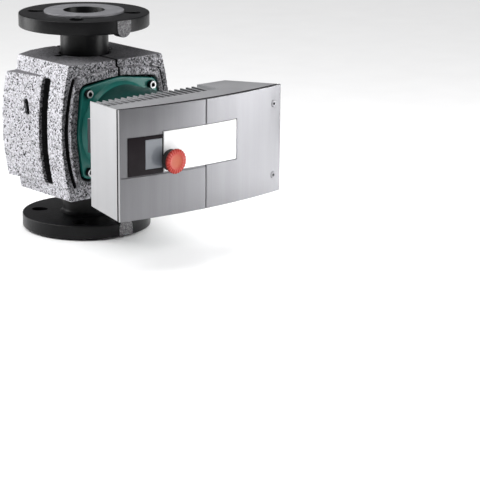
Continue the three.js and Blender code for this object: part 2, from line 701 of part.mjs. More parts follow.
function labelPanel() {
  const stemHole = discY(5, -270, -230, 20).translate(KNOB.x, 0, KNOB.z);
  return bowedPlate(PANEL.left, PANEL.right, PANEL.bottom, PANEL.top, -0.2, 1.2).subtract(stemHole);
}

// a ribbed cap on a narrower skirt
function knob() {
  const { radius, skirtRadius, rimChamfer, frontY, backY } = KNOB;
  const capBackY = frontY + KNOB.capDepth;
  const outline = [[0, frontY], [radius - rimChamfer, frontY], [radius, frontY + rimChamfer],
    [radius, capBackY], [skirtRadius, capBackY], [skirtRadius, backY], [0, backY]];
  const rim = [];
  for (let i = 0; i < GRIP_COUNT; i += 1) {
    const notch = discY(0.9, frontY - 1, capBackY + 1, 6).translate(radius + 0.35, 0, 0);
    rim.push(notch.rotate([0, (360 / GRIP_COUNT) * i, 0]));
  }
  const socket = discY(KNOB.socketRadius, frontY + KNOB.socketFloor, backY + 1, 16);
  return turnedY(outline, 24).subtract(union(rim)).subtract(socket).translate(KNOB.x, 0, KNOB.z);
}

function addFrontPanel() {
  addPiece('control_cover', controlCover(), BRUSHED());
  addPiece('terminal_cover', terminalCover(), BRUSHED());
  addPiece('cover_screw_upper', coverScrew(), STEEL()).position.set(COVER_SCREW.x, 0, COVER_SCREW.z);
  addPiece('cover_screw_lower', coverScrew(), STEEL()).position.set(COVER_SCREW.x, 0, -COVER_SCREW.z);
  addPiece('display_window', displayWindow(), BLACK_PLASTIC());
  addPiece('lcd_display', bowedPlate(LCD.left, LCD.right, LCD.bottom, LCD.top, 0.6, 5), LCD_GREY());
  addPiece('label_panel', labelPanel(), WHITE_PANEL());
  addPiece('control_knob', knob(), RED_PLASTIC());
}

function encoderPlunger() {
  const stem = discY(3, KNOB.frontY + KNOB.socketFloor + GAP, -232, 16);
  const foot = discY(6, -240, -237, 20);
  return stem.add(foot).translate(KNOB.x, 0, KNOB.z);
}

function encoderBody() {
  const can = block([-9, -235.5, -9], [9, -226, 9]);
  return can.subtract(discY(3.6, -240, -228, 20)).translate(KNOB.x, 0, KNOB.z);
}

function addElectronics() {
  addPiece('encoder_plunger', encoderPlunger(), BLACK_PLASTIC());
  addPiece('encoder_body', encoderBody(), STEEL());
  addPiece('circuit_board', block([-112, -225.6, -52], [40, -224, 52]), BOARD_GREEN());
  addPiece('capacitor', discY(14, -223.7, -213, 24).translate(-80, 0, -20), BLACK_PLASTIC());
  addPiece('terminal_block', terminalBlock(), BLACK_PLASTIC());
  addPiece('heat_sink', heatSink(), ALUMINIUM());
  addPiece('control_housing', controlHousing(), ALUMINIUM());
}

function terminalBlock() {
  const cells = [];
  for (let i = 0; i < 5; i += 1) {
    cells.push(block([52, -231, -31 + i * 13], [58, -222, -21 + i * 13]));
  }
  return block([52.5, -228, -34], [76, -172.5, 34]).subtract(union(cells));
}

// cable entries on the right-hand side of the terminal compartment
function glandPlaces() {
  return [-22, 22];
}

function discX(radius, fromX, toX, segments = 24) {
  const length = toX - fromX;
  const cylinder = new THREE.CylinderGeometry(radius, radius, length, segments).rotateZ(Math.PI / 2);
  return solid(cylinder.translate((fromX + toX) / 2, 0, 0));
}

// turns a part made along X to stand square on the leaning side wall
function glandAxis(body, z) {
  const right = MODULE_X + MODULE_HALF_WIDTH;
  const wallFrontY = MODULE_EDGE_Y + COVER + GAP;
  const slope = (right - MODULE_BACK_RIGHT) / (MODULE_BACK_Y - wallFrontY);
  const wallX = right - slope * (GLAND_Y - wallFrontY);
  const lean = THREE.MathUtils.radToDeg(Math.atan(slope));
  return body.rotate([0, 0, lean]).translate(wallX, GLAND_Y, z);
}

function glandBody() {
  const thread = discX(10, -7, 12);
  const hex = discX(13.5, 0.5, 6, 6);
  return thread.add(hex).subtract(discX(6.5, -16, 24, 20));
}

function glandNut() {
  const hex = discX(13.5, 6.4, 14, 6);
  const dome = discX(11.6, 13, 18, 24);
  return hex.add(dome).subtract(discX(10.4, 4, 13, 24)).subtract(discX(6.5, 4, 24, 20));
}

function addCableGlands() {
  glandPlaces().forEach((z, i) => {
    addPiece(`cable_gland_${i + 1}`, glandAxis(glandBody(), z), BLACK_PLASTIC());
    addPiece(`gland_nut_${i + 1}`, glandAxis(glandNut(), z), BLACK_PLASTIC());
  });
}

addPiece('pump_housing', pumpHousing(), COATED_IRON());
addWetStationaryParts();
addRotatingParts();
addMotor();
addInsulation();
addFrontPanel();
addElectronics();
addCableGlands();

export default pump;
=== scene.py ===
import json
import math

import bmesh
import bpy
from mathutils import Matrix, Vector


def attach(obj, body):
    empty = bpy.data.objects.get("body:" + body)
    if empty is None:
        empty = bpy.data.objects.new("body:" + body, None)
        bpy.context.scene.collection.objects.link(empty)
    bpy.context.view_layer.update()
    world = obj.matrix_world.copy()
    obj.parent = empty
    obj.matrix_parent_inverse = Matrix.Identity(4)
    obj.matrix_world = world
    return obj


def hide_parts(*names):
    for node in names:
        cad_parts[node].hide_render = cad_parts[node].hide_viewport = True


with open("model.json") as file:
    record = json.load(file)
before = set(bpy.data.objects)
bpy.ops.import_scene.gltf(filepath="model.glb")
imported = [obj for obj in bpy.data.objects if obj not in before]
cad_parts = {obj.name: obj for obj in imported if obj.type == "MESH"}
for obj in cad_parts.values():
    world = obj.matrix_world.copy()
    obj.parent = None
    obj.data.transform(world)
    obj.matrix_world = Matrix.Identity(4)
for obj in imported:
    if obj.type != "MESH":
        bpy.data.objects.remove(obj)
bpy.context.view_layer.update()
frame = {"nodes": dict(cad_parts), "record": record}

scene = bpy.context.scene
TAU = 2 * math.pi
MM = 0.001
BLACK = (0, 0, 0)
WHITE = (1, 1, 1)


# ---- sizes, in mm about the pump's middle

HALF = 140.0  # from the middle to the face of either flange, so also the middle's height above the floor
FLANGE_R = 82.5
RIM_TOP = 137.5
RIM_BOTTOM = 120.5
FACE_R = 50.5
BORE_R = 25.5
BORE_CHAMFER = 1.5
NECK_R = 30.5
NECK_START = 62  # each flange's neck starts inside the casting
NECK_END = 66  # the casting's own necks end here

BALL_R = 32
CHAMBER_BACK = -38  # where the impeller's room ends
DISCHARGE = [(-52, 30), (-48, 44), (-34, 54), (-16, 62), (-3, 76), (0, 95)]  # (y, z) of the rising passage
CAST_WALL_R = 18
PASSAGE_R = 13

JOINT_Y = -66.0  # where the motor meets the pump housing
MOTOR_FRONT = -72.0
SCREW_HOLE_R = 3.3
LOBE_PITCH = 49.5
LOBE_R = 8.5
LOBE_ROUND_R = 64.5

SHELL_HALF_HEIGHT = 86
SHELL_END_HALF_WIDTH = 72.5
SHELL_BULGE = 13
SHELL_ROUND_R = (SHELL_HALF_HEIGHT ** 2 + SHELL_BULGE ** 2) / (2 * SHELL_BULGE)

MODULE_X = -6.0
MODULE_HALF_WIDTH = 124.5
MODULE_HALF_HEIGHT = 66.5
LEFT_EDGE = MODULE_X - MODULE_HALF_WIDTH
RIGHT_EDGE = MODULE_X + MODULE_HALF_WIDTH
EDGE_Y = -240.0  # the front's upright edges; the front bows out from there
BOW = 12.5
BOW_R = (MODULE_HALF_WIDTH ** 2 + BOW ** 2) / (2 * BOW)
BOW_CENTRE_Y = EDGE_Y - BOW + BOW_R

COVER = 3.0
COVER_ROUND = 0.8
SEAM_X = -11.0
SEAM_HALF_GAP = 0.4
COVER_SCREW_X, COVER_SCREW_Z = 104.5, 44.6
RECESS_DEPTH = 1.5
RECESS_MARGIN = 1.2
CUTTER_FRONT = -5  # cutters start this far in front of the bow

# Boxes on the front: left, right, low, high.
WINDOW = (-119.5, -72.8, -14.0, 32.0)
PANEL = (-72.2, 37.4, -12.5, 35.3)
LCD = (-96.7, -74.0, -7.5, 27.5)

KNOB_X, KNOB_Z = -66.3, 1.4
KNOB_FRONT, KNOB_BACK = -265.5, -252.9
KNOB_R, SKIRT_R = 15.0, 12.8
KNOB_CAP_DEPTH = 3.2
KNOB_HOLE_R = 5

RIM_STEPS = 4  # how finely rounded rims are cut


# ---- node materials

class Nodes:
    """A short way to write a node tree."""

    def __init__(self, name):
        self.material = bpy.data.materials.new(name)
        self.material.use_nodes = True
        self.tree = self.material.node_tree
        self.tree.nodes.clear()
        self.coordinates = self.add("ShaderNodeTexCoord").outputs["Object"]

    def add(self, kind, inputs=None, **settings):
        """A new node, with its settings made before its sockets are filled."""
        node = self.tree.nodes.new(kind)
        for key, value in settings.items():
            setattr(node, key, value)
        for key, value in (inputs or {}).items():
            self.put(node.inputs[key], value)
        return node

    def put(self, socket, value):
        """Links a socket, or sets it on the node itself. Colours come without their alpha."""
        if isinstance(value, bpy.types.NodeSocket):
            self.tree.links.new(value, socket)
        elif socket.type == "RGBA":
            socket.default_value = (*value, 1)
        else:
            socket.default_value = value

    def scaled(self, stretch):
        return self.add("ShaderNodeMapping", {"Vector": self.coordinates, "Scale": stretch}).outputs["Vector"]

    def noise(self, scale, detail, rough=0.5, vector=None, output="Fac"):
        inputs = {"Vector": vector or self.coordinates, "Scale": scale, "Detail": detail, "Roughness": rough}
        return self.add("ShaderNodeTexNoise", inputs).outputs[output]

    def cells(self, scale, feature, output, vector, randomness=1.0):
        inputs = {"Vector": vector, "Scale": scale, "Randomness": randomness}
        return self.add("ShaderNodeTexVoronoi", inputs, feature=feature).outputs[output]

    def ramp(self, value, stops):
        """A colour for value, from (place, colour) stops."""
        node = self.add("ShaderNodeValToRGB", {"Fac": value})
        elements = node.color_ramp.elements
        while len(elements) < len(stops):
            elements.new(0.5)
        for element, (place, color) in zip(elements, stops):
            element.position = place
            element.color = (*color, 1)
        return node.outputs["Color"]

    def span(self, value, low, high, from_low=0.0, from_high=1.0):
        """Carries value from the range from_low to from_high over to low to high."""
        inputs = {"Value": value, "From Min": from_low, "From Max": from_high, "To Min": low, "To Max": high}
        return self.add("ShaderNodeMapRange", inputs).outputs["Result"]

    def math(self, operation, a, b=0.0):
        return self.add("ShaderNodeMath", {0: a, 1: b}, operation=operation).outputs[0]

    def weighted(self, a, share_a, b, share_b):
        return self.math("ADD", self.math("MULTIPLY", a, share_a), self.math("MULTIPLY", b, share_b))

    def waves(self, value, pitch):
        """A sine that repeats every pitch metres."""
        return self.math("SINE", self.math("MULTIPLY", value, TAU / pitch))

    def mix(self, factor, a, b):
        inputs = {"Factor": factor, "A": a, "B": b}
        return self.add("ShaderNodeMix", inputs, data_type="RGBA").outputs["Result"]

    def bump(self, height, distance, strength):
        inputs = {"Height": height, "Distance": distance, "Strength": strength}
        return self.add("ShaderNodeBump", inputs).outputs["Normal"]

    def axis(self, name):
        """One coordinate of the place on the object, in metres."""
        return self.add("ShaderNodeSeparateXYZ", {"Vector": self.coordinates}).outputs[name]

    def radius(self, origin, axes):
        """Distance from an axis that runs through origin, measured in the plane of two axes."""
        squares = []
        for axis, centre in zip(axes, origin):
            offset = self.math("SUBTRACT", self.axis(axis), centre)
            squares.append(self.math("MULTIPLY", offset, offset))
        return self.math("SQRT", self.math("ADD", *squares))

    def finish(self, **sockets):
        """The material, from the surface shader's sockets, named with _ for a space."""
        inputs = {name.replace("_", " "): value for name, value in sockets.items()}
        shader = self.add("ShaderNodeBsdfPrincipled", inputs)
        self.add("ShaderNodeOutputMaterial", {"Surface": shader.outputs["BSDF"]})
        return self.material


def coated_iron():
    n = Nodes("coated_iron")
    grain = n.noise(900, 5, 0.6)
    cloud = n.noise(38, 3, 0.55)
    color = n.ramp(cloud, [(0.3, (0.002, 0.002, 0.0024)), (0.7, (0.005, 0.005, 0.0058))])
    dust = n.ramp(n.noise(260, 6, 0.7), [(0.56, BLACK), (0.72, WHITE)])
    color = n.mix(n.math("MULTIPLY", dust, 0.15), color, (0.03, 0.03, 0.034))
    height = n.math("ADD", n.math("MULTIPLY", grain, 0.35), n.noise(210, 4, 0.6))
    return n.finish(Base_Color=color, Roughness=n.span(n.noise(120, 4), 0.26, 0.4), Specular_IOR_Level=0.2,
                    Normal=n.bump(height, 0.00028, 0.7))


def machined_iron():
    n = Nodes("machined_iron")
    rings = n.waves(n.radius((0, 0), ("X", "Y")), 0.0009)
    smear = n.noise(60, 3)
    color = n.ramp(smear, [(0.3, (0.22, 0.22, 0.235)), (0.7, (0.28, 0.28, 0.295))])
    color = n.mix(n.span(rings, 0, 0.16, -1, 1), color, (0.13, 0.13, 0.14))
    height = n.math("ADD", n.math("MULTIPLY", rings, 0.4), n.noise(700, 3))
    return n.finish(Base_Color=color, Roughness=n.span(smear, 0.45, 0.6), Metallic=0.4,
                    Normal=n.bump(height, 0.00012, 0.8))


def raw_iron():
    n = Nodes("raw_iron")
    grit = n.noise(620, 6, 0.75)
    color = n.ramp(grit, [(0.36, (0.04, 0.04, 0.043)), (0.5, (0.13, 0.128, 0.132)),
                          (0.66, (0.34, 0.335, 0.345))])
    return n.finish(Base_Color=color, Roughness=0.6, Metallic=0.45, Normal=n.bump(grit, 0.0009, 0.9))


def green_paint(name, depth):
    """Green paint over a casting. depth scales how light it is."""
    n = Nodes(name)
    dark = tuple(depth * level for level in (0.008, 0.125, 0.105))
    light = tuple(depth * level for level in (0.013, 0.165, 0.14))
    color = n.ramp(n.noise(30, 2), [(0.3, dark), (0.7, light)])
    chips = n.ramp(n.noise(420, 5, 0.7), [(0.7, BLACK), (0.76, WHITE)])
    color = n.mix(n.math("MULTIPLY", chips, 0.3), color, (0.004, 0.05, 0.04))
    height = n.math("ADD", n.noise(240, 4, 0.6), n.math("MULTIPLY", n.noise(60, 2), 1.5))
    return n.finish(Base_Color=color, Roughness=n.span(n.noise(90, 3), 0.3, 0.42), Specular_IOR_Level=0.3,
                    Coat_Weight=0.12, Coat_Roughness=0.2, Normal=n.bump(height, 0.00025, 0.6))


def metal(name, dark, light, roughness, scale, stretch=(1, 1, 1)):
    """Bare metal. stretch draws its grain out into streaks."""
    n = Nodes(name)
    streaks = n.noise(scale, 5, 0.6, n.scaled(stretch))
    color = n.ramp(n.weighted(streaks, 0.7, n.noise(24, 2), 0.3), [(0.32, dark), (0.68, light)])
    rough = n.span(streaks, roughness * 0.85, roughness * 1.15, 0.3, 0.7)
    return n.finish(Base_Color=color, Roughness=rough, Metallic=1.0, Normal=n.bump(streaks, 0.00006, 0.7))


def foam(name, stops, gap_depth, bump, bead_size=0.0016, painted_shade_beside_motor=False):
    """Moulded bead foam. stops colour its beads, and a switch adds painted shade that darkens it at both
    sides of the motor.
    """
    n = Nodes(name)
    shift = n.add("ShaderNodeVectorMath", {0: n.noise(420, 2, output="Color"), 1: (0.0009, 0.0009, 0.0009),
                                           2: n.coordinates}, operation="MULTIPLY_ADD")
    place = shift.outputs["Vector"]
    bead = n.cells(1 / bead_size, "F1", "Color", place)
    tone = n.add("ShaderNodeSeparateColor", {"Color": bead}).outputs[0]
    edge = n.cells(1 / bead_size, "DISTANCE_TO_EDGE", "Distance", place)
    fine = n.noise(1700, 4, 0.7)
    color = n.ramp(n.weighted(tone, 0.75, fine, 0.4), stops)
    gap = n.ramp(edge, [(0.0, WHITE), (0.1, BLACK)])
    color = n.mix(n.math("MULTIPLY", gap, gap_depth), color, (0.03, 0.029, 0.033))
    # painted shade: darker foam beside the motor flange, where the module shades it
    if painted_shade_beside_motor:
        out = n.span(n.math("ABSOLUTE", n.axis("X")), 0, 1, 0.05, 0.064)
        height = n.math("ABSOLUTE", n.math("SUBTRACT", n.axis("Z"), HALF * MM))
        share = n.math("MULTIPLY", out, n.span(height, 1, 0, 0.055, 0.076))
        color = n.mix(n.math("MULTIPLY", share, 0.6), color, (0.012, 0.012, 0.013))
    beads = n.weighted(n.math("MINIMUM", edge, 0.3), 2.2, fine, 0.3)
    return n.finish(Base_Color=color, Roughness=0.85, Specular_IOR_Level=0.2, Normal=n.bump(beads, bump, 0.9))


def grey(*levels):
    """(place, colour) stops in faintly blue greys from (place, level) pairs."""
    return [(place, (level, level * 0.99, level * 1.05)) for place, level in levels]


def brushed(name, dark, light, roughness, metallic):
    """Metal with upright brush lines."""
    n = Nodes(name)
    upright = (1, 1, 0.02)
    lines = n.noise(900, 3, 0.65, n.scaled(upright))
    wide = n.noise(70, 2, 0.5, n.scaled(upright))
    smudge = n.noise(9, 3, 0.5)
    color = n.ramp(n.weighted(lines, 0.55, wide, 0.45), [(0.3, dark), (0.7, light)])
    rough = n.math("ADD", n.span(lines, roughness * 0.85, roughness * 1.12, 0.3, 0.7),
                   n.span(smudge, -0.02, 0.02, 0.3, 0.7))
    return n.finish(Base_Color=color, Roughness=rough, Metallic=metallic, Normal=n.bump(lines, 0.00004, 0.5))


def satin_aluminium():
    n = Nodes("satin_aluminium")
    speck = n.noise(1300, 4, 0.7)
    color = n.ramp(n.weighted(speck, 0.4, n.noise(22, 2), 0.6),
                   [(0.35, (0.38, 0.38, 0.395)), (0.65, (0.47, 0.47, 0.485))])
    return n.finish(Base_Color=color, Roughness=n.span(speck, 0.4, 0.52), Metallic=0.5,
                    Normal=n.bump(speck, 0.0001, 0.7))


def plastic(name, dark, light, roughness, grain=800.0, bump=0.00008, specular=0.5):
    n = Nodes(name)
    texture = n.noise(grain, 4, 0.6)
    color = n.ramp(n.weighted(texture, 0.5, n.noise(45, 2), 0.5), [(0.35, dark), (0.65, light)])
    rough = n.span(texture, roughness * 0.9, roughness * 1.1, 0.3, 0.7)
    return n.finish(Base_Color=color, Roughness=rough, Specular_IOR_Level=specular,
                    Normal=n.bump(texture, bump, 0.6))


def knob_red_painted_light():
    """Red plastic, with a painted highlight that lightens the knob's middle and painted shade that darkens
    its rim.
    """
    n = Nodes("knob_red_painted_light")
    radius = n.radius((KNOB_X * MM, (HALF + KNOB_Z) * MM), ("X", "Z"))
    texture = n.noise(700, 4)
    # painted highlight in the middle, painted shade at the rim
    color = n.ramp(n.span(radius, 0, 1, 0, 0.016),
                   [(0.3, (0.42, 0.085, 0.036)), (0.52, (0.4, 0.05, 0.024)), (0.6, (0.4, 0.026, 0.014)),
                    (0.85, (0.38, 0.022, 0.013)), (0.95, (0.16, 0.008, 0.005))])
    color = n.mix(n.span(texture, 0, 0.25, 0.4, 0.7), color, (0.3, 0.025, 0.013))
    return n.finish(Base_Color=color, Roughness=n.span(texture, 0.36, 0.46), Specular_IOR_Level=0.35,
                    Normal=n.bump(texture, 0.00006, 0.6))


def lcd_glass():
    """A blank display with the faint grid of its cells."""
    n = Nodes("lcd_glass")
    cell = 0.0011
    height = n.axis("Z")
    # painted shade: the display darkens towards the bottom
    shade = n.span(height, 0, 1, 0.132, 0.168)
    color = n.ramp(shade, [(0.0, (0.15, 0.165, 0.19)), (1.0, (0.24, 0.255, 0.28))])
    grid = n.math("MAXIMUM", n.waves(n.axis("X"), cell), n.waves(height, cell))
    color = n.mix(n.span(grid, 0, 0.12, 0.7, 1), color, (0.1, 0.11, 0.125))
    return n.finish(Base_Color=color, Roughness=0.3, Specular_IOR_Level=0.5, Coat_Weight=0.6,
                    Coat_Roughness=0.06, Normal=n.bump(grid, 0.00002, 0.3))


def smoked_window():
    n = Nodes("smoked_window")
    haze = n.noise(35, 3)
    color = n.ramp(haze, [(0.3, (0.009, 0.0064, 0.008)), (0.7, (0.014, 0.01, 0.0125))])
    return n.finish(Base_Color=color, Roughness=n.span(n.noise(400, 4), 0.2, 0.28), Specular_IOR_Level=0.1,
                    Coat_Weight=0.03, Coat_Roughness=0.06, Normal=n.bump(n.noise(120, 2), 0.00003, 0.4))


def white_film():
    n = Nodes("white_film")
    texture = n.noise(1400, 4, 0.7)
    color = n.ramp(n.noise(26, 2), [(0.3, (0.86, 0.865, 0.87)), (0.7, (0.92, 0.925, 0.93))])
    return n.finish(Base_Color=color, Roughness=n.span(texture, 0.4, 0.52), Specular_IOR_Level=0.4,
                    Normal=n.bump(texture, 0.00005, 0.5))


def laminations():
    n = Nodes("laminations")
    layers = n.waves(n.axis("Y"), 0.001)
    color = n.mix(n.span(layers, 0, 0.6, -1, 1), (0.4, 0.4, 0.41), (0.14, 0.14, 0.15))
    height = n.math("ADD", layers, n.noise(300, 3))
    return n.finish(Base_Color=color, Roughness=0.42, Metallic=0.9, Normal=n.bump(height, 0.0001, 0.8))


def windings():
    n = Nodes("windings")
    turns = n.waves(n.radius((0, HALF * MM), ("X", "Z")), 0.0009)
    color = n.mix(n.span(turns, 0, 0.75, -1, 1), (0.72, 0.3, 0.12), (0.25, 0.08, 0.03))
    color = n.mix(n.span(n.noise(500, 4), 0, 0.3, 0.4, 0.7), color, (0.4, 0.14, 0.05))
    return n.finish(Base_Color=color, Roughness=0.35, Metallic=0.85, Coat_Weight=0.4,
                    Coat_Roughness=0.15, Normal=n.bump(turns, 0.0002, 0.9))


def solder_mask():
    """A green circuit board with tracks and bare pads."""
    n = Nodes("solder_mask")
    tracks = n.cells(160, "DISTANCE_TO_EDGE", "Distance", n.scaled((1, 0.05, 1.6)), 0.0)
    line = n.ramp(tracks, [(0.03, WHITE), (0.06, BLACK)])
    spots = n.cells(260, "F1", "Distance", n.scaled((1, 0.05, 1)), 0.25)
    pads = n.ramp(spots, [(0.16, WHITE), (0.2, BLACK)])
    color = n.mix(line, (0.01, 0.095, 0.03), (0.02, 0.17, 0.06))
    color = n.mix(pads, color, (0.62, 0.6, 0.55))
    return n.finish(Base_Color=color, Roughness=n.span(n.noise(600, 3), 0.32, 0.46), Coat_Weight=0.3,
                    Coat_Roughness=0.12, Normal=n.bump(line, 0.00004, 0.7))


FIN_STREAKS = (1, 1, 0.06)

MATERIALS = {
    "iron": coated_iron(),
    "machined": machined_iron(),
    "raw": raw_iron(),
    "green": green_paint("green_paint", 0.9),
    # the same paint much darker for the barrel: painted shade
    "green_barrel_painted_shade": green_paint("green_barrel_painted_shade", 0.22),
    # dark metal for the tray's back and lug: painted shade behind the module
    "lug": metal("lug_painted_shade", (0.016, 0.018, 0.021), (0.045, 0.049, 0.054), 0.6, 400),
    # light metal for the motor screws' head rings: painted highlight
    "ring": metal("screw_ring_painted_highlight", (0.45, 0.455, 0.46), (0.6, 0.605, 0.61), 0.6, 700),
    # darker metal for the fin sides: painted shade between the fins
    "fin_side_painted_shade": metal("fin_side_painted_shade", (0.11, 0.11, 0.115), (0.18, 0.18, 0.187), 0.5, 500, FIN_STREAKS),
    "screw": metal("dull_screw", (0.07, 0.07, 0.075), (0.16, 0.16, 0.165), 0.4, 700),
    "steel": metal("zinc_steel", (0.55, 0.56, 0.58), (0.74, 0.75, 0.77), 0.26, 700),
    "black_oxide": metal("black_oxide", (0.03, 0.03, 0.033), (0.08, 0.08, 0.085), 0.38, 600),
    "stainless": metal("stainless", (0.5, 0.5, 0.51), (0.66, 0.66, 0.67), 0.28, 240, (1, 6, 1)),
    "carbon": plastic("carbon", (0.018, 0.018, 0.02), (0.04, 0.04, 0.043), 0.5, 900, 0.00012),
    "rubber": plastic("rubber", (0.008, 0.008, 0.008), (0.018, 0.018, 0.018), 0.7, 900, 0.0001, 0.3),
    "foam": foam("bead_foam", grey((0.22, 0.01), (0.31, 0.25), (0.45, 0.52), (0.85, 0.8)), 0.45,
                 0.0006, 0.0017),
    # front-facing foam, darker than the sides as painted shade
    "foam_front_painted_shade": foam("bead_foam_front", grey((0.2, 0.018), (0.4, 0.1), (0.62, 0.29), (0.9, 0.54)), 0.42,
                       0.0005, 0.0017, painted_shade_beside_motor=True),
    # a smoother skin for level faces and the collar, darkened further as painted shade
    "foam_skin_and_painted_shade": foam("bead_foam_skin", grey((0.2, 0.11), (0.45, 0.165), (0.9, 0.225)), 0.3, 0.0002),
    # near-black foam: painted shade inside the seam, slots, grooves and notches
    "foam_recess_painted_shade": foam("bead_foam_dark", grey((0.2, 0.004), (0.5, 0.007), (0.9, 0.014)), 0.3, 0.0003),
    "side": brushed("brushed_side", (0.38, 0.38, 0.39), (0.42, 0.42, 0.43), 0.5, 0.35),
    "cover": brushed("brushed_cover", (0.148, 0.148, 0.156), (0.176, 0.176, 0.184), 0.38, 1.0),
    "satin": satin_aluminium(),
    # brighter metal for the fin tips and tops: painted highlight
    "fin": metal("fin_aluminium_painted_highlight", (0.58, 0.58, 0.6), (0.76, 0.76, 0.78), 0.38, 500, FIN_STREAKS),
    "black_plastic": plastic("black_plastic", (0.012, 0.012, 0.013), (0.026, 0.026, 0.028), 0.42),
    "red": knob_red_painted_light(),
    "window": smoked_window(),
    "lcd": lcd_glass(),
    "panel": white_film(),
    "laminations": laminations(),
    "windings": windings(),
    "board": solder_mask(),
}


# ---- outlines and solids

def rounded(points, radii, steps=5):
    """A closed 2-D outline with each corner rounded by its radius."""
    out = []
    for i, (here, radius) in enumerate(zip(points, radii)):
        p = Vector(here)
        a = Vector(points[i - 1]) - p
        b = Vector(points[(i + 1) % len(points)]) - p
        half = a.angle(b) / 2 if radius > 0 else math.pi / 2
        if half > math.radians(89):
            out.append(tuple(here))
            continue
        reach = min(radius / math.tan(half), a.length * 0.49, b.length * 0.49)
        size = reach * math.tan(half)
        middle = p + (a.normalized() + b.normalized()).normalized() * (size / math.sin(half))
        start = (p + a.normalized() * reach) - middle
        end = (p + b.normalized() * reach) - middle
        turn = start.angle_signed(end)
        for k in range(steps + 1):
            spun = start.copy()
            spun.rotate(Matrix.Rotation(-turn * k / steps, 2))
            out.append(tuple(middle + spun))
    return out


def arc(x, y, radius, start, sweep, steps):
    """Points along a circle about (x, y), from the angle start on, with both ends."""
    angles = [start + sweep * k / steps for k in range(steps + 1)]
    return [(x + radius * math.cos(a), y + radius * math.sin(a)) for a in angles]


def edge_steps(front, back, front_round, back_round):
    """(height, inset) pairs that round both rims of a slab."""
    angles = [math.pi / 2 * k / RIM_STEPS for k in range(RIM_STEPS + 1)]
    first = [(front + front_round * (1 - math.sin(a)), front_round * (1 - math.cos(a))) for a in angles]
    last = [(back - back_round * (1 - math.sin(a)), back_round * (1 - math.cos(a))) for a in angles]
    return first[::-1] + last


def mesh_object(name, vertices, faces, material=None):
    mesh = bpy.data.meshes.new(name)
    mesh.from_pydata([tuple(v) for v in vertices], [], faces)
    mesh.update()
    obj = bpy.data.objects.new(name, mesh)
    scene.collection.objects.link(obj)
    if material:
        mesh.materials.append(MATERIALS[material])
    return obj


def outward(obj):
    """Welds a solid and turns its faces outwards."""
    bm = bmesh.new()
    bm.from_mesh(obj.data)
    bmesh.ops.remove_doubles(bm, verts=bm.verts, dist=1e-4)
    bmesh.ops.recalc_face_normals(bm, faces=bm.faces)
    if bm.calc_volume(signed=True) < 0:
        bmesh.ops.reverse_faces(bm, faces=bm.faces)
    bm.to_mesh(obj.data)
    bm.free()
    return obj


def turned(name, outline, axis, segments, material, centre=(0, 0, 0)):
    """A closed [radius, height] outline turned about the Y or Z axis."""
    vertices, faces = [], []
    count = len(outline)
    for s in range(segments):
        angle = TAU * s / segments
        for r, h in outline:
            u, v = r * math.cos(angle), r * math.sin(angle)
            point = (u, v, h) if axis == "Z" else (u, h, v)
            vertices.append([a + b for a, b in zip(point, centre)])
    for s in range(segments):
        following = (s + 1) % segments
        for i in range(count):
            j = (i + 1) % count
            if outline[i][0] < 1e-6 and outline[j][0] < 1e-6:
                continue
            faces.append((s * count + i, s * count + j, following * count + j, following * count + i))
    return outward(mesh_object(name, vertices, faces, material))


def drum(name, radius, low, high, axis, segments, material, centre=(0, 0, 0)):
    """A plain cylinder."""
    outline = [(0, low), (radius, low), (radius, high), (0, high)]
    return turned(name, outline, axis, segments, material, centre)


def ball(name, radius, steps):
    angles = [math.pi * k / steps for k in range(steps + 1)]
    return turned(name, [(radius * math.sin(a), -radius * math.cos(a)) for a in angles], "Z", 64, "iron")


def stacked(name, loops, material=None):
    """A closed solid through loops of 3-D points, all with the same count, capped at both ends."""
    vertices = [point for loop in loops for point in loop]
    count = len(loops[0])
    faces = []
    for level in range(len(loops) - 1):
        low, high = level * count, (level + 1) * count
        faces += [(low + i, low + (i + 1) % count, high + (i + 1) % count, high + i) for i in range(count)]
    faces.append(tuple(range(count)))
    faces.append(tuple(range(len(vertices) - count, len(vertices))))
    return outward(mesh_object(name, vertices, faces, material))


def block(name, low, high):
    corners = [(low[0], low[1]), (high[0], low[1]), (high[0], high[1]), (low[0], high[1])]
    return stacked(name, [[(x, y, z) for x, y in corners] for z in (low[2], high[2])])


def hexagon_socket(size, turn, levels):
    """A cutter for a screw's hexagon socket, whose near-black faces are painted shade. levels are (y, share
    of the size) pairs.
    """
    angles = [TAU * k / 6 + turn for k in range(6)]
    corners = [(size * math.cos(a), size * math.sin(a)) for a in angles]
    loops = [[(u * share, y, v * share) for u, v in corners] for y, share in levels]
    # the socket's faces take near-black rubber as painted shade
    return stacked("socket", loops, "rubber")


def apply_modifiers(obj):
    bpy.context.view_layer.update()
    graph = bpy.context.evaluated_depsgraph_get()
    mesh = bpy.data.meshes.new_from_object(obj.evaluated_get(graph), depsgraph=graph)
    obj.modifiers.clear()
    old = obj.data
    obj.data = mesh
    mesh.name = old.name
    bpy.data.meshes.remove(old)
    return obj


def cut(obj, *cutters, operation="DIFFERENCE"):
    """Cuts solids away. The cut faces take the material of their cutter."""
    for cutter in cutters:
        modifier = obj.modifiers.new("cut", "BOOLEAN")
        modifier.operation = operation
        modifier.solver = "MANIFOLD"
        modifier.material_mode = "TRANSFER"
        modifier.object = cutter
        apply_modifiers(obj)
        bpy.data.objects.remove(cutter)
    return obj


def join_solid(obj, *others):
    return cut(obj, *others, operation="UNION")


def softened(obj, width, angle=35):
    """Rounds the sharp edges by a real bevel."""
    modifier = obj.modifiers.new("soft", "BEVEL")
    modifier.width = width
    modifier.segments = 2
    modifier.limit_method = "ANGLE"
    modifier.angle_limit = math.radians(angle)
    return apply_modifiers(obj)


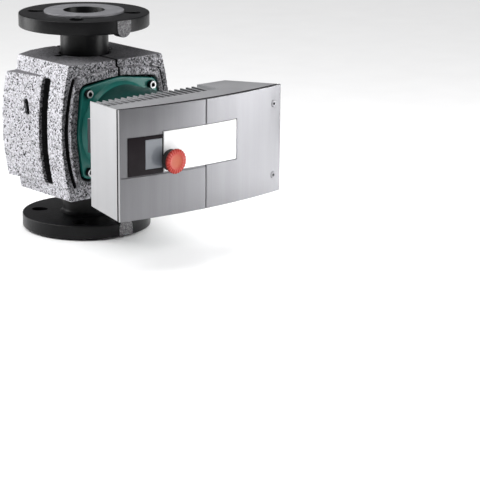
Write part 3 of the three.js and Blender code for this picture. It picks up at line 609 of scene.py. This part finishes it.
def moulded(obj, voxel_size, iterations, material):
    """Gives every edge and inner corner the rounding of a casting or a moulding."""
    remesh = obj.modifiers.new("remesh", "REMESH")
    remesh.mode = "VOXEL"
    remesh.voxel_size = voxel_size
    smooth = obj.modifiers.new("smooth", "SMOOTH")
    smooth.factor = 0.5
    smooth.iterations = iterations
    apply_modifiers(obj)
    obj.data.materials.clear()
    obj.data.materials.append(MATERIALS[material])
    return obj


def copied(node, material):
    """A clean, welded copy of a CAD node in mm about the pump's middle, with flat faces merged."""
    mesh = frame["nodes"][node].data.copy()
    mesh.materials.clear()
    obj = bpy.data.objects.new(node + "_v", mesh)
    scene.collection.objects.link(obj)
    to_mm = Matrix.Scale(1 / MM, 4) @ Matrix.Translation((0, 0, -HALF * MM))
    bm = bmesh.new()
    bm.from_mesh(mesh)
    bmesh.ops.remove_doubles(bm, verts=bm.verts, dist=2e-6)
    bmesh.ops.dissolve_limit(bm, angle_limit=math.radians(0.6), verts=bm.verts, edges=bm.edges)
    bmesh.ops.transform(bm, matrix=to_mm, verts=bm.verts)
    bm.to_mesh(mesh)
    bm.free()
    for layer in [a for a in mesh.attributes if a.name == "custom_normal"]:
        mesh.attributes.remove(layer)
    mesh.materials.append(MATERIALS[material])
    return obj


def set_material(obj, material, test):
    """Gives the faces that pass the test, by centre and normal, another material."""
    mesh = obj.data
    index = mesh.materials.find(MATERIALS[material].name)
    if index < 0:
        mesh.materials.append(MATERIALS[material])
        index = len(mesh.materials) - 1
    for face in mesh.polygons:
        if test(face.center, face.normal):
            face.material_index = index
    return obj


BODY_OF = {name: body for body, names in frame["record"]["behaviour"]["bodies"].items() for name in names}


def place(obj, node, sharp_angle=32):
    """Puts a finished piece in metres, on its body, in place of its CAD node."""
    obj.data.transform(Matrix.Translation((0, 0, HALF * MM)) @ Matrix.Scale(MM, 4))
    obj.data.shade_smooth()
    obj.data.set_sharp_from_angle(angle=math.radians(sharp_angle))
    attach(obj, BODY_OF[node])
    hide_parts(node)


# ---- the motor joint's outline

def lobed(inset, corner_steps=14, side_steps=16):
    """The four-lobed outline of the motor flange and its seat."""
    big, small = LOBE_ROUND_R - inset, LOBE_R - inset
    reach = LOBE_PITCH * math.sqrt(2)
    swing = math.acos((big - small) / reach)
    points = []
    for corner in range(4):
        middle = TAU / 8 + corner * TAU / 4
        x, z = reach * math.cos(middle), reach * math.sin(middle)
        points += arc(x, z, small, middle - swing, 2 * swing, corner_steps)
        points += arc(0, 0, big, middle + swing, TAU / 4 - 2 * swing, side_steps)[1:-1]
    return points


def lobed_slab(name, front, back, front_round, back_round, material):
    loops = [[(x, y, z) for x, z in lobed(inset)]
             for y, inset in edge_steps(front, back, front_round, back_round)]
    return stacked(name, loops, material)


def corner_places():
    """The four motor screws' (x, z) places, clockwise from the upper left as seen from the front."""
    return [(sx * LOBE_PITCH, sz * LOBE_PITCH) for sx, sz in ((-1, 1), (1, 1), (1, -1), (-1, -1))]


# ---- pump housing

def flange(sign):
    """The upper flange with its boss and slots, or with sign -1 its mirror image below."""
    step_r = FACE_R + 1.2
    fillet = 4
    outline = rounded(
        [(0, NECK_START), (NECK_R, NECK_START), (NECK_R, RIM_BOTTOM - fillet), (NECK_R + fillet, RIM_BOTTOM),
         (FLANGE_R, RIM_BOTTOM), (FLANGE_R, RIM_TOP), (step_r, RIM_TOP), (step_r, RIM_TOP + 0.01),
         (FACE_R, RIM_TOP + 0.3), (FACE_R, HALF), (0, HALF)],
        [0, 0, fillet, 2.5, 1.6, 1.3, 0, 0, 0.2, 0.35, 0])
    body = turned("flange", outline, "Z", 128, "iron")
    body = join_solid(body, tapping_boss())
    body = cut(body, *[bolt_slot(quarter) for quarter in range(4)])
    set_material(body, "machined", lambda c, m: c.z > RIM_TOP + 0.4 and math.hypot(c.x, c.y) < FACE_R + 0.1)
    if sign < 0:
        body.data.transform(Matrix.Scale(-1, 4, (0, 0, 1)))
        body.data.flip_normals()
    return body


def tapping_boss():
    """A boss with a round underside and a rough front face, on the front of the rim."""
    radius, middle_z, front, depth = 11.0, 126.5, -82.8, 12
    top = RIM_TOP - 0.4
    outline = [(-radius, top), *arc(0, middle_z, radius, math.pi, math.pi, 20), (radius, top)]
    loops = []
    for y, inset in edge_steps(front, front + depth, 0.8, 0.01):
        share = 1 - inset / radius
        loops.append([(x * share, y, top + (h - top) * share - (inset if h == top else 0))
                      for x, h in outline])
    return set_material(stacked("boss", loops, "iron"), "raw", lambda c, m: m.y < -0.9)


def bolt_slot(quarter):
    """Two overlapping bolt holes joined by straight sides, broken at the top edge."""
    inner, outer, small, large, chamfer = 57.5, 62.5, 7.0, 9.0, 0.8
    lean = math.asin((large - small) / (outer - inner))
    turn = TAU / 8 + quarter * TAU / 4
    cos, sin = math.cos(turn), math.sin(turn)
    levels = [(RIM_BOTTOM - 8, 0), (RIM_TOP - 0.7, 0), (RIM_TOP + 0.1, chamfer), (RIM_TOP + 5, chamfer)]
    loops = []
    for z, extra in levels:
        outline = arc(outer, 0, large + extra, -math.pi / 2 - lean, math.pi + 2 * lean, 20)
        outline += arc(inner, 0, small + extra, math.pi / 2 + lean, math.pi - 2 * lean, 14)
        loops.append([(x * cos - y * sin, x * sin + y * cos, z) for x, y in outline])
    return stacked("slot", loops, "iron")


def smooth_path(points, steps=6):
    """Catmull-Rom points through 2-D points."""
    padded = [points[0], *points, points[-1]]
    out = []
    for i in range(1, len(padded) - 2):
        p0, p1, p2, p3 = (Vector(p) for p in padded[i - 1:i + 3])
        for k in range(steps):
            t = k / steps
            out.append(tuple(0.5 * ((2 * p1) + (p2 - p0) * t + (2 * p0 - 5 * p1 + 4 * p2 - p3) * t ** 2
                                    + (3 * p1 - p0 - 3 * p2 + p3) * t ** 3)))
    out.append(tuple(points[-1]))
    return out


def rising_tube(name, radius):
    """A round rod along the rising passage, to build its wall or to open it."""
    segments = 40
    angles = [TAU * k / segments for k in range(segments)]
    path = smooth_path(DISCHARGE)
    loops = []
    for i, (y, z) in enumerate(path):
        before = Vector(path[max(i - 1, 0)])
        after = Vector(path[min(i + 1, len(path) - 1)])
        tangent = (after - before).normalized()
        side = Vector((-tangent.y, tangent.x))
        loops.append([(radius * math.cos(a), y + side.x * radius * math.sin(a),
                       z + side.y * radius * math.sin(a)) for a in angles])
    return stacked(name, loops, "iron")


def volute_casting():
    """The cast middle of the housing, with the fillets a casting has."""
    back = rounded([(0, JOINT_Y), (60, JOINT_Y), (60, -30), (34, -16), (0, -16)], [0, 0, 9, 10, 0])
    cone = [(0, NECK_END - 8), (22, NECK_END - 8), (NECK_R, NECK_END), (0, NECK_END)]
    body = turned("pump_housing_v", back, "Y", 96, "iron")
    body = join_solid(body, ball("ball", BALL_R, 20),
                      drum("neck", NECK_R, -NECK_END, 0, "Z", 64, "iron"),
                      rising_tube("bend", CAST_WALL_R),
                      lobed_slab("seat", JOINT_Y, JOINT_Y + 12, 0.01, 2.5, "iron"),
                      drum("riser", NECK_R, NECK_END - 6, NECK_END, "Z", 64, "iron"),
                      turned("cone", cone, "Z", 64, "iron"))
    body = cut(body, block("front", (-90, -130, -90), (90, JOINT_Y, 90)))
    return moulded(body, 1.7, 7, "iron")


def pump_housing():
    """The casting with both flanges, opened by the bores, the rising passage and the impeller's room."""
    body = join_solid(volute_casting(), flange(1), flange(-1))
    past, lip = HALF + 1, HALF - 1.2
    mouth_r = BORE_R + BORE_CHAMFER
    ahead = JOINT_Y - 1
    eye_r, room_r = 23.3, 52
    groove_in, groove_out, groove_end = 53.8, 57.2, JOINT_Y + 3
    low_bore = [(0, -past), (mouth_r, -past), (BORE_R, -lip), (BORE_R, 0), (0, 0)]
    top_bore = [(0, 80), (PASSAGE_R, 80), (BORE_R, 98), (BORE_R, lip), (mouth_r, past), (0, past)]
    chamber = [(0, ahead), (room_r, ahead), (room_r, CHAMBER_BACK - 2), (room_r - 2, CHAMBER_BACK),
               (0, CHAMBER_BACK)]
    groove = [(groove_in, ahead), (groove_out, ahead), (groove_out, groove_end), (groove_in, groove_end)]
    cutters = [
        block("plane", (-90, -100, -75), (90, JOINT_Y, 75)),
        turned("low_bore", low_bore, "Z", 96, "iron"),
        ball("bend_room", BORE_R, 24),
        turned("top_bore", top_bore, "Z", 96, "iron"),
        rising_tube("rise", PASSAGE_R),
        drum("eye", eye_r, CHAMBER_BACK - 2, -18, "Y", 64, "machined"),
        turned("chamber", chamber, "Y", 96, "machined"),
        turned("groove", groove, "Y", 96, "machined"),
    ]
    for x, z in corner_places():
        cutters.append(drum("hole", SCREW_HOLE_R, ahead, JOINT_Y + 14, "Y", 24, "machined", (x, 0, z)))
    body = cut(body, *cutters)
    set_material(body, "machined", lambda c, m: abs(c.y - JOINT_Y) < 0.05 and m.y < -0.99)
    place(body, "pump_housing", 38)


# ---- motor

def motor_housing():
    """A lobed flange with a barrel in front of it, which narrows where it enters the module."""
    barrel_r, nose_r, foot_r = 56, 45, 59.5
    end, nose_start, barrel_start, foot = -188, -164, -160, -78
    lead_r, lead_z = 8, -34
    pocket_r, pocket_front = 6.4, -90
    outline = rounded([(0, end), (nose_r, end), (nose_r, nose_start), (barrel_r, barrel_start),
                       (barrel_r, foot), (foot_r, MOTOR_FRONT + 0.2), (foot_r, MOTOR_FRONT + 2),
                       (0, MOTOR_FRONT + 2)], [0, 3, 3, 4, 4, 0, 0, 0])
    body = lobed_slab("motor_housing_v", MOTOR_FRONT, JOINT_Y - 0.3, 1.3, 0.5, "green")
    # the barrel takes the darker green as painted shade
    body = join_solid(body, turned("barrel", outline, "Y", 128, "green_barrel_painted_shade"))
    set_material(body, "green", lambda c, m: c.y > foot - 0.5)
    cutters = [motor_bore(end + 5, nose_start),
               drum("lead", lead_r, end - 2, end + 8, "Y", 32, "green", (0, 0, lead_z))]
    for x, z in corner_places():
        pocket = rounded([(0, pocket_front), (pocket_r, pocket_front), (pocket_r, MOTOR_FRONT + 1),
                          (0, MOTOR_FRONT + 1)], [0, 0, 0.4, 0], steps=3)
        cutters.append(turned("pocket", pocket, "Y", 40, "green", (x, 0, z)))
        cutters.append(drum("hole", SCREW_HOLE_R, -80, -60, "Y", 24, "green", (x, 0, z)))
    place(cut(body, *cutters), "motor_housing", 30)


def motor_bore(end, nose_start):
    """The room inside the motor, with a collar behind the stator."""
    nose_r, room_r, collar_r = 40, 52, 46
    collar, past = -90, -60
    outline = [(0, end), (nose_r, end), (nose_r, nose_start), (room_r, nose_start + 5), (room_r, collar),
               (collar_r, collar), (collar_r, MOTOR_FRONT), (room_r, MOTOR_FRONT), (room_r, past), (0, past)]
    return turned("bore", outline, "Y", 96, "satin")


def motor_screw(node, x, z):
    """A cylinder-head screw with a knurled head, a hexagon socket and a chamfered tip."""
    front, seat, tip = -77.3, -71.3, -47.3
    head_r, shank_r = 5.0, 3.0
    segments, knurl = 96, 0.965
    profile = [(0, tip), (2.4, tip), (shank_r, tip - 1), (shank_r, seat), (4.7, seat), (head_r, seat - 0.3),
               (head_r, front + 0.7), (4.85, front + 0.25), (4.4, front), (0, front)]
    body = turned(node + "_v", profile, "Y", segments, "black_oxide")
    for vertex in body.data.vertices:
        step = round(math.atan2(vertex.co.z, vertex.co.x) / TAU * segments)
        if math.hypot(vertex.co.x, vertex.co.z) > 4.9 and step % 2:
            vertex.co.x *= knurl
            vertex.co.z *= knurl
    body = cut(body, hexagon_socket(2.9, 0, ((front - 1, 1.12), (front, 1.12), (front + 0.35, 1.0),
                                             (front + 3.4, 1.0), (front + 4.6, 0.1))))
    # the head's front ring is painted light as a highlight
    set_material(body, "ring", lambda c, m: m.y < -0.35 and c.y < front + 0.9 and math.hypot(c.x, c.z) > 3.3)
    body.data.transform(Matrix.Translation((x, 0, z)))
    place(body, node, 24)


# ---- foam shell

def shell_side_x(z):
    """Half width of the bulging shell at a height."""
    return SHELL_END_HALF_WIDTH + SHELL_BULGE - SHELL_ROUND_R + math.sqrt(SHELL_ROUND_R ** 2 - z ** 2)


def on_skin_and_painted_shade(c, m):
    """True for the shell's top and bottom, its level steps, and the outside of its collar, whose darker foam
    is partly a smoother skin and partly painted shade.
    """
    level = abs(m.z) > 0.75 and (abs(c.z) > SHELL_HALF_HEIGHT - 2 or abs(c.x) > 60)
    collar = m.y > -0.4 and c.y < -62 and abs(c.x) < 66
    return level or collar


def within(point, *ranges):
    """True on either side of the middle, where |x|, y and z are in their (low, high) ranges."""
    values = (abs(point.x), point.y, point.z)
    return all(low < value < high for value, (low, high) in zip(values, ranges))


def in_recess(c, m):
    """True for the faces inside the seam, slots, front grooves and lifting notches, which are painted near
    black as shade.
    """
    side_x = shell_side_x(c.z)
    pad_x = side_x + 0.2 * (c.y + 22)
    along = (c.z / 70 + 1) / 2
    groove_x = 68.8 + 50 * along * (1 - along)
    seam = abs(c.x) < 1.9 and abs(m.x) > 0.7
    grip_slot = within(c, (68, side_x - 1.6), (-35, -20), (-69.5, 69.5))
    pad_slot = within(c, (75, pad_x), (-6.1, 7.9), (14.5, 39.5))
    front_groove = within(c, (60, groove_x), (-65.2, -50), (-70, 70))
    lifting_notch = within(c, (29, 45), (-3, 7), (75, 85))
    return seam or grip_slot or pad_slot or front_groove or lifting_notch


def foam_half(node):
    body = moulded(copied(node, "foam"), 1.5, 5, "foam")
    # front faces take the darker foam as painted shade
    set_material(body, "foam_front_painted_shade", lambda c, m: m.y < -0.4)
    # level faces and the collar take the skin foam, darkened as painted shade
    set_material(body, "foam_skin_and_painted_shade", on_skin_and_painted_shade)
    # painted shade inside the recesses
    set_material(body, "foam_recess_painted_shade", in_recess)
    place(body, node, 60)


# ---- module front

def bow_y(x, depth=0.0):
    """Where the bowed front lies at x, or a face at a depth behind it."""
    return BOW_CENTRE_Y - math.sqrt((BOW_R - depth) ** 2 - (x - MODULE_X) ** 2)


def grown(box, margin):
    left, right, low, high = box
    return left - margin, right + margin, low - margin, high + margin


def front_plate(name, box, front, back, soft, material, columns=80):
    """A plate that follows the bow. front and back are depths behind it, soft is its rim's radius."""
    left, right, low, high = box
    rims = [soft * (1 - math.cos(math.pi / 2 * k / RIM_STEPS)) for k in range(RIM_STEPS + 1)] if soft else [0]
    between = [left + soft + (right - left - 2 * soft) * k / columns for k in range(1, columns)]
    xs = [left + r for r in rims] + between + [right - r for r in reversed(rims)]
    zs = [low + r for r in rims] + [high - r for r in reversed(rims)]

    def drop(distance):
        if distance >= soft:
            return 0.0
        return soft - math.sqrt(max(soft ** 2 - (soft - distance) ** 2, 0))

    vertices, faces = [], []
    for z in zs:
        for x in xs:
            fall = min(drop(min(x - left, right - x)) + drop(min(z - low, high - z)), soft)
            vertices.append((x, bow_y(x, front + fall), z))
    vertices += [(x, bow_y(x, back), z) for z in zs for x in xs]
    nx, nz = len(xs), len(zs)
    layer = nx * nz
    for j in range(nz - 1):
        for i in range(nx - 1):
            a = j * nx + i
            faces.append((a, a + 1, a + nx + 1, a + nx))
            faces.append((layer + a, layer + a + nx, layer + a + nx + 1, layer + a + 1))
    rim = list(range(nx)) + [j * nx + nx - 1 for j in range(1, nz)]
    rim += [(nz - 1) * nx + i for i in range(nx - 2, -1, -1)] + [j * nx for j in range(nz - 2, 0, -1)]
    for a, b in zip(rim, rim[1:] + rim[:1]):
        faces.append((a, b, layer + b, layer + a))
    return outward(mesh_object(name, vertices, faces, material))


def front_cutter(name, box, back, material="cover", columns=80):
    return front_plate(name, box, CUTTER_FRONT, back, 0, material, columns)


def drilled(radius, x, z, front=-270.0, back=-230.0, segments=40, material="cover"):
    return drum("drill", radius, front, back, "Y", segments, material, (x, 0, z))


def cover_plate(name, left, right):
    box = (left, right, -MODULE_HALF_HEIGHT, MODULE_HALF_HEIGHT)
    return front_plate(name, box, 0, COVER, COVER_ROUND, "cover")


def control_cover():
    """The display side, with a shallow recess, an opening for the display and a hole for the knob's stem."""
    recess = (LEFT_EDGE + 1.5, SEAM_X + 20, WINDOW[2] - RECESS_MARGIN, PANEL[3] + RECESS_MARGIN)
    body = cover_plate("control_cover_v", LEFT_EDGE, SEAM_X - SEAM_HALF_GAP)
    set_material(body, "side", lambda c, m: m.x < -0.8)
    body = cut(body, front_cutter("recess", recess, RECESS_DEPTH),
               front_cutter("opening", grown(LCD, 1), 10, columns=24), drilled(KNOB_HOLE_R, KNOB_X, KNOB_Z))
    place(body, "control_cover", 28)


def terminal_cover():
    """The terminal side, with the end of the recess and two screw holes."""
    recess = (SEAM_X - 20, *grown(PANEL, RECESS_MARGIN)[1:])
    body = cover_plate("terminal_cover_v", SEAM_X + SEAM_HALF_GAP, RIGHT_EDGE)
    cutters = [front_cutter("recess", recess, RECESS_DEPTH)]
    for z in (-COVER_SCREW_Z, COVER_SCREW_Z):
        cutters.append(drilled(2.4, COVER_SCREW_X, z, -260))
        cutters.append(drilled(4.4, COVER_SCREW_X, z, -260, bow_y(COVER_SCREW_X) + 1.5))
    place(cut(body, *cutters), "terminal_cover", 28)


def cover_screw(node, z):
    """A small domed screw with a hexagon socket."""
    face = bow_y(COVER_SCREW_X)
    head_r, shank_r = 4.0, 2.0
    profile = [(0, face + 14), (1.6, face + 14), (shank_r, face + 13.4), (shank_r, face + 1.2),
               (3.8, face + 1.2), (head_r, face + 1.0), (head_r, face - 0.2), (3.6, face - 0.75),
               (2.6, face - 1.0), (0, face - 1.0)]
    body = turned(node + "_v", profile, "Y", 48, "screw")
    body = cut(body, hexagon_socket(1.7, 0.3, ((face - 2, 1.1), (face - 0.95, 1.1), (face - 0.75, 1.0),
                                               (face + 0.5, 1.0), (face + 0.9, 0.1))))
    set_material(body, "cover", lambda c, m: m.y < -0.35 and c.y < face and math.hypot(c.x, c.z) > 2)
    body.data.transform(Matrix.Translation((COVER_SCREW_X, 0, z)))
    place(body, node, 24)


def display():
    """The dark window with the display in it, and the blank white panel."""
    pane = front_plate("display_window_v", WINDOW, 0.4, 1.2, 0.25, "window", 40)
    place(cut(pane, front_cutter("hole", grown(LCD, 0.3), 5, "window", 24)), "display_window", 28)
    place(front_plate("lcd_display_v", LCD, 0.6, 5, 0.3, "lcd", 24), "lcd_display", 28)
    panel = front_plate("label_panel_v", PANEL, -0.2, 1.2, 0.35, "panel", 60)
    place(cut(panel, drilled(KNOB_HOLE_R, KNOB_X, KNOB_Z, material="panel")), "label_panel", 28)


def knob():
    """A domed red cap with fine ridges round its rim, on a narrower black skirt."""
    segments, ridges, ridge_depth, face_depth = 216, 24, 0.7, 0.8
    cap_back = KNOB_FRONT + KNOB_CAP_DEPTH
    profile = [  # radius, y, share of the ridges' depth
        (0, KNOB_FRONT + 0.7, 0), (6.0, KNOB_FRONT + 0.55, 0), (8.6, KNOB_FRONT + 0.25, 0),
        (9.4, KNOB_FRONT + 0.05, 0), (10.0, KNOB_FRONT, 0.2), (11.0, KNOB_FRONT, 0.8),
        (12.4, KNOB_FRONT + 0.05, 1), (13.8, KNOB_FRONT + 0.2, 1), (14.6, KNOB_FRONT + 0.55, 1),
        (KNOB_R, KNOB_FRONT + 1.2, 1), (KNOB_R, cap_back - 1.0, 1), (14.9, cap_back - 0.5, 0.4),
        (14.5, cap_back, 0), (13.3, cap_back, 0), (SKIRT_R, cap_back + 0.5, 0),
        (SKIRT_R, KNOB_BACK - 0.4, 0), (12.4, KNOB_BACK, 0), (0, KNOB_BACK, 0),
    ]
    vertices, faces = [], []
    count = len(profile)
    for s in range(segments):
        a = TAU * s / segments
        dip = 1 - abs(math.cos(a * ridges / 2)) ** 0.7
        for r, y, share in profile:
            size = r - ridge_depth * share * dip
            sink = face_depth * share * dip if y < KNOB_FRONT + 1 else 0
            vertices.append((KNOB_X + size * math.cos(a), y + sink, KNOB_Z + size * math.sin(a)))
    for s in range(segments):
        t = (s + 1) % segments
        for i in range(count - 1):
            faces.append((s * count + i, s * count + i + 1, t * count + i + 1, t * count + i))
    body = outward(mesh_object("control_knob_v", vertices, faces, "red"))
    set_material(body, "rubber", lambda c, m: c.y > cap_back - 0.3)
    socket = drilled(3.3, KNOB_X, KNOB_Z, KNOB_FRONT + 5, KNOB_BACK + 1, 32, "rubber")
    place(cut(body, socket), "control_knob", 40)


# ---- module body and inner pieces

def on_lug(c, m):
    """True for the lug behind the module's tray and the wall beside its root, which are painted dark as
    shade.
    """
    beside_root = c.y > -177 and -115.9 < c.x < -108 and m.x > 0.5
    return c.y > -165.9 or beside_root


def control_housing():
    """The module's tray, with a groove under the covers painted black as shade, and the lug beside the motor
    painted dark as shade.
    """
    inset = 2.2
    height = MODULE_HALF_HEIGHT - 0.8
    body = softened(copied("control_housing", "satin"), 0.7, 30)
    outer_box = (LEFT_EDGE - 8, RIGHT_EDGE + 8, -75, 75)
    inner_box = (LEFT_EDGE + inset, RIGHT_EDGE - inset, -height, height)
    outer = front_plate("outer", outer_box, COVER - 0.5, COVER + 3.2, 0, "rubber", 40)
    inner = front_plate("inner", inner_box, COVER - 6, COVER + 9, 0, "rubber", 40)
    # the groove's cut faces take the near-black rubber as painted shade
    body = cut(body, cut(outer, inner))
    set_material(body, "side", lambda c, m: m.x < -0.9 and c.x < LEFT_EDGE + 17.5)
    # the lug and the wall beside its root are painted dark as shade
    set_material(body, "lug", on_lug)
    place(body, "control_housing", 30)


PLAIN_PIECES = [  # node, material, bevel
    ("wear_ring", "stainless", 0.3), ("bearing_plate", "stainless", 0.4), ("front_bearing", "carbon", 0.4),
    ("rear_bearing", "carbon", 0.4), ("rotor_can", "stainless", 0.15), ("impeller", "stainless", 0.2),
    ("impeller_nut", "stainless", 0.4), ("shaft", "stainless", 0.6), ("rotor_core", "laminations", 0.8),
    ("stator_core", "laminations", 0.4), ("encoder_plunger", "black_plastic", 0.3),
    ("encoder_body", "steel", 0.5), ("circuit_board", "board", 0.2), ("capacitor", "black_plastic", 1.0),
    ("terminal_block", "black_plastic", 0.6), ("heat_sink", "satin", 0.4), ("housing_o_ring", "rubber", 0.0),
    ("cable_gland_1", "black_plastic", 0.5), ("cable_gland_2", "black_plastic", 0.5),
    ("gland_nut_1", "black_plastic", 0.7), ("gland_nut_2", "black_plastic", 0.7),
    *[(f"stator_coil_{i}", "windings", 1.2) for i in range(1, 7)],
]


def colour_fins(body):
    """Darker sides as painted shade and bright tips and tops as a painted highlight, for the heat sink's
    fins.
    """
    fin_root, top_front = -210, -172
    set_material(body, "fin_side_painted_shade", lambda c, m: abs(m.x) > 0.8 and c.y > fin_root)
    set_material(body, "fin", lambda c, m: m.y > 0.5 or (m.z > 0.5 and c.y > top_front))


def plain_piece(node, material, bevel):
    """A piece whose CAD shape is right: welded, with its edges broken by a small real bevel."""
    body = copied(node, material)
    if bevel:
        softened(body, bevel)
    if node == "heat_sink":
        colour_fins(body)
    place(body, node)


# ---- camera, floor and light, in metres

def add_camera():
    azimuth, pitch, roll = math.radians(-41.0595), math.radians(15.319), math.radians(0.383)
    location = Vector((-1.55325, -2.08514, 0.55073 + HALF * MM))
    level = math.cos(pitch)
    back = Vector((math.sin(azimuth) * level, -math.cos(azimuth) * level, math.sin(pitch)))
    right = Vector((math.cos(azimuth), math.sin(azimuth), 0))
    up = back.cross(right)
    tilted_right = math.cos(roll) * right + math.sin(roll) * up
    tilted_up = -math.sin(roll) * right + math.cos(roll) * up
    data = bpy.data.cameras.new("camera")
    data.sensor_width = 36
    data.lens = 155.378
    data.clip_start, data.clip_end = 0.05, 50
    camera = bpy.data.objects.new("camera", data)
    turn = Matrix((tilted_right, tilted_up, back)).transposed().to_4x4()
    camera.matrix_world = Matrix.Translation(location) @ turn
    scene.collection.objects.link(camera)
    scene.camera = camera


def add_floor():
    half = 20.0
    n = Nodes("floor")
    color = n.ramp(n.noise(14, 3), [(0.3, (0.93, 0.93, 0.93)), (0.7, (0.95, 0.95, 0.95))])
    material = n.finish(Base_Color=color, Roughness=0.9, Specular_IOR_Level=0.1)
    floor = mesh_object("floor", [(-half, -half, 0), (half, -half, 0), (half, half, 0), (-half, half, 0)],
                        [(0, 1, 2, 3)])
    floor.data.materials.append(material)


def add_world():
    world = bpy.data.worlds.new("studio")
    world.use_nodes = True
    background = world.node_tree.nodes["Background"]
    background.inputs["Color"].default_value = (0.98, 0.98, 1, 1)
    background.inputs["Strength"].default_value = 0.16
    scene.world = world


def overhead_sun(strength, spread):
    """A very wide, even light from above that keeps the floor pale."""
    data = bpy.data.lights.new("overhead", "SUN")
    data.energy = strength
    data.angle = math.radians(spread)
    scene.collection.objects.link(bpy.data.objects.new("overhead", data))


def area_light(name, azimuth, elevation, distance, width, height, power, target=(-0.03, -0.1, 0.14)):
    """A soft box that faces its target. Azimuth 0 is in front (-Y) and 90 is on the -X side."""
    a, e = math.radians(azimuth), math.radians(elevation)
    away = Vector((-math.sin(a) * math.cos(e), -math.cos(a) * math.cos(e), math.sin(e)))
    data = bpy.data.lights.new(name, "AREA")
    data.shape = "RECTANGLE"
    data.size, data.size_y = width, height
    data.energy = power
    lamp = bpy.data.objects.new(name, data)
    lamp.location = Vector(target) + distance * away
    lamp.rotation_mode = "QUATERNION"
    lamp.rotation_quaternion = (Vector(target) - lamp.location).to_track_quat("-Z", "Y")
    lamp.visible_camera = False
    scene.collection.objects.link(lamp)


def add_lights():
    overhead_sun(1.7, 50)
    area_light("key_left", 112, 46, 2.2, 1.2, 1.2, 29)
    area_light("back_left", 148, 16, 0.74, 0.4, 0.6, 2.8)
    area_light("front_right", -47, 6, 0.74, 0.46, 0.4, 2.7, target=(0.06, -0.245, 0.13))
    area_light("floor_pool", 0, 90, 0.26, 0.24, 0.24, 3.4, target=(0.39, -0.43, 0))
    area_light("front_high", -35, 30, 1.8, 0.8, 0.8, 8.5)


pump_housing()
motor_housing()
for number, (screw_x, screw_z) in enumerate(corner_places(), 1):
    motor_screw(f"motor_screw_{number}", screw_x, screw_z)
foam_half("insulation_left")
foam_half("insulation_right")
control_cover()
terminal_cover()
cover_screw("cover_screw_upper", COVER_SCREW_Z)
cover_screw("cover_screw_lower", -COVER_SCREW_Z)
display()
knob()
control_housing()
for piece in PLAIN_PIECES:
    plain_piece(*piece)

add_camera()
add_floor()
add_world()
add_lights()
scene.view_settings.view_transform = "Standard"
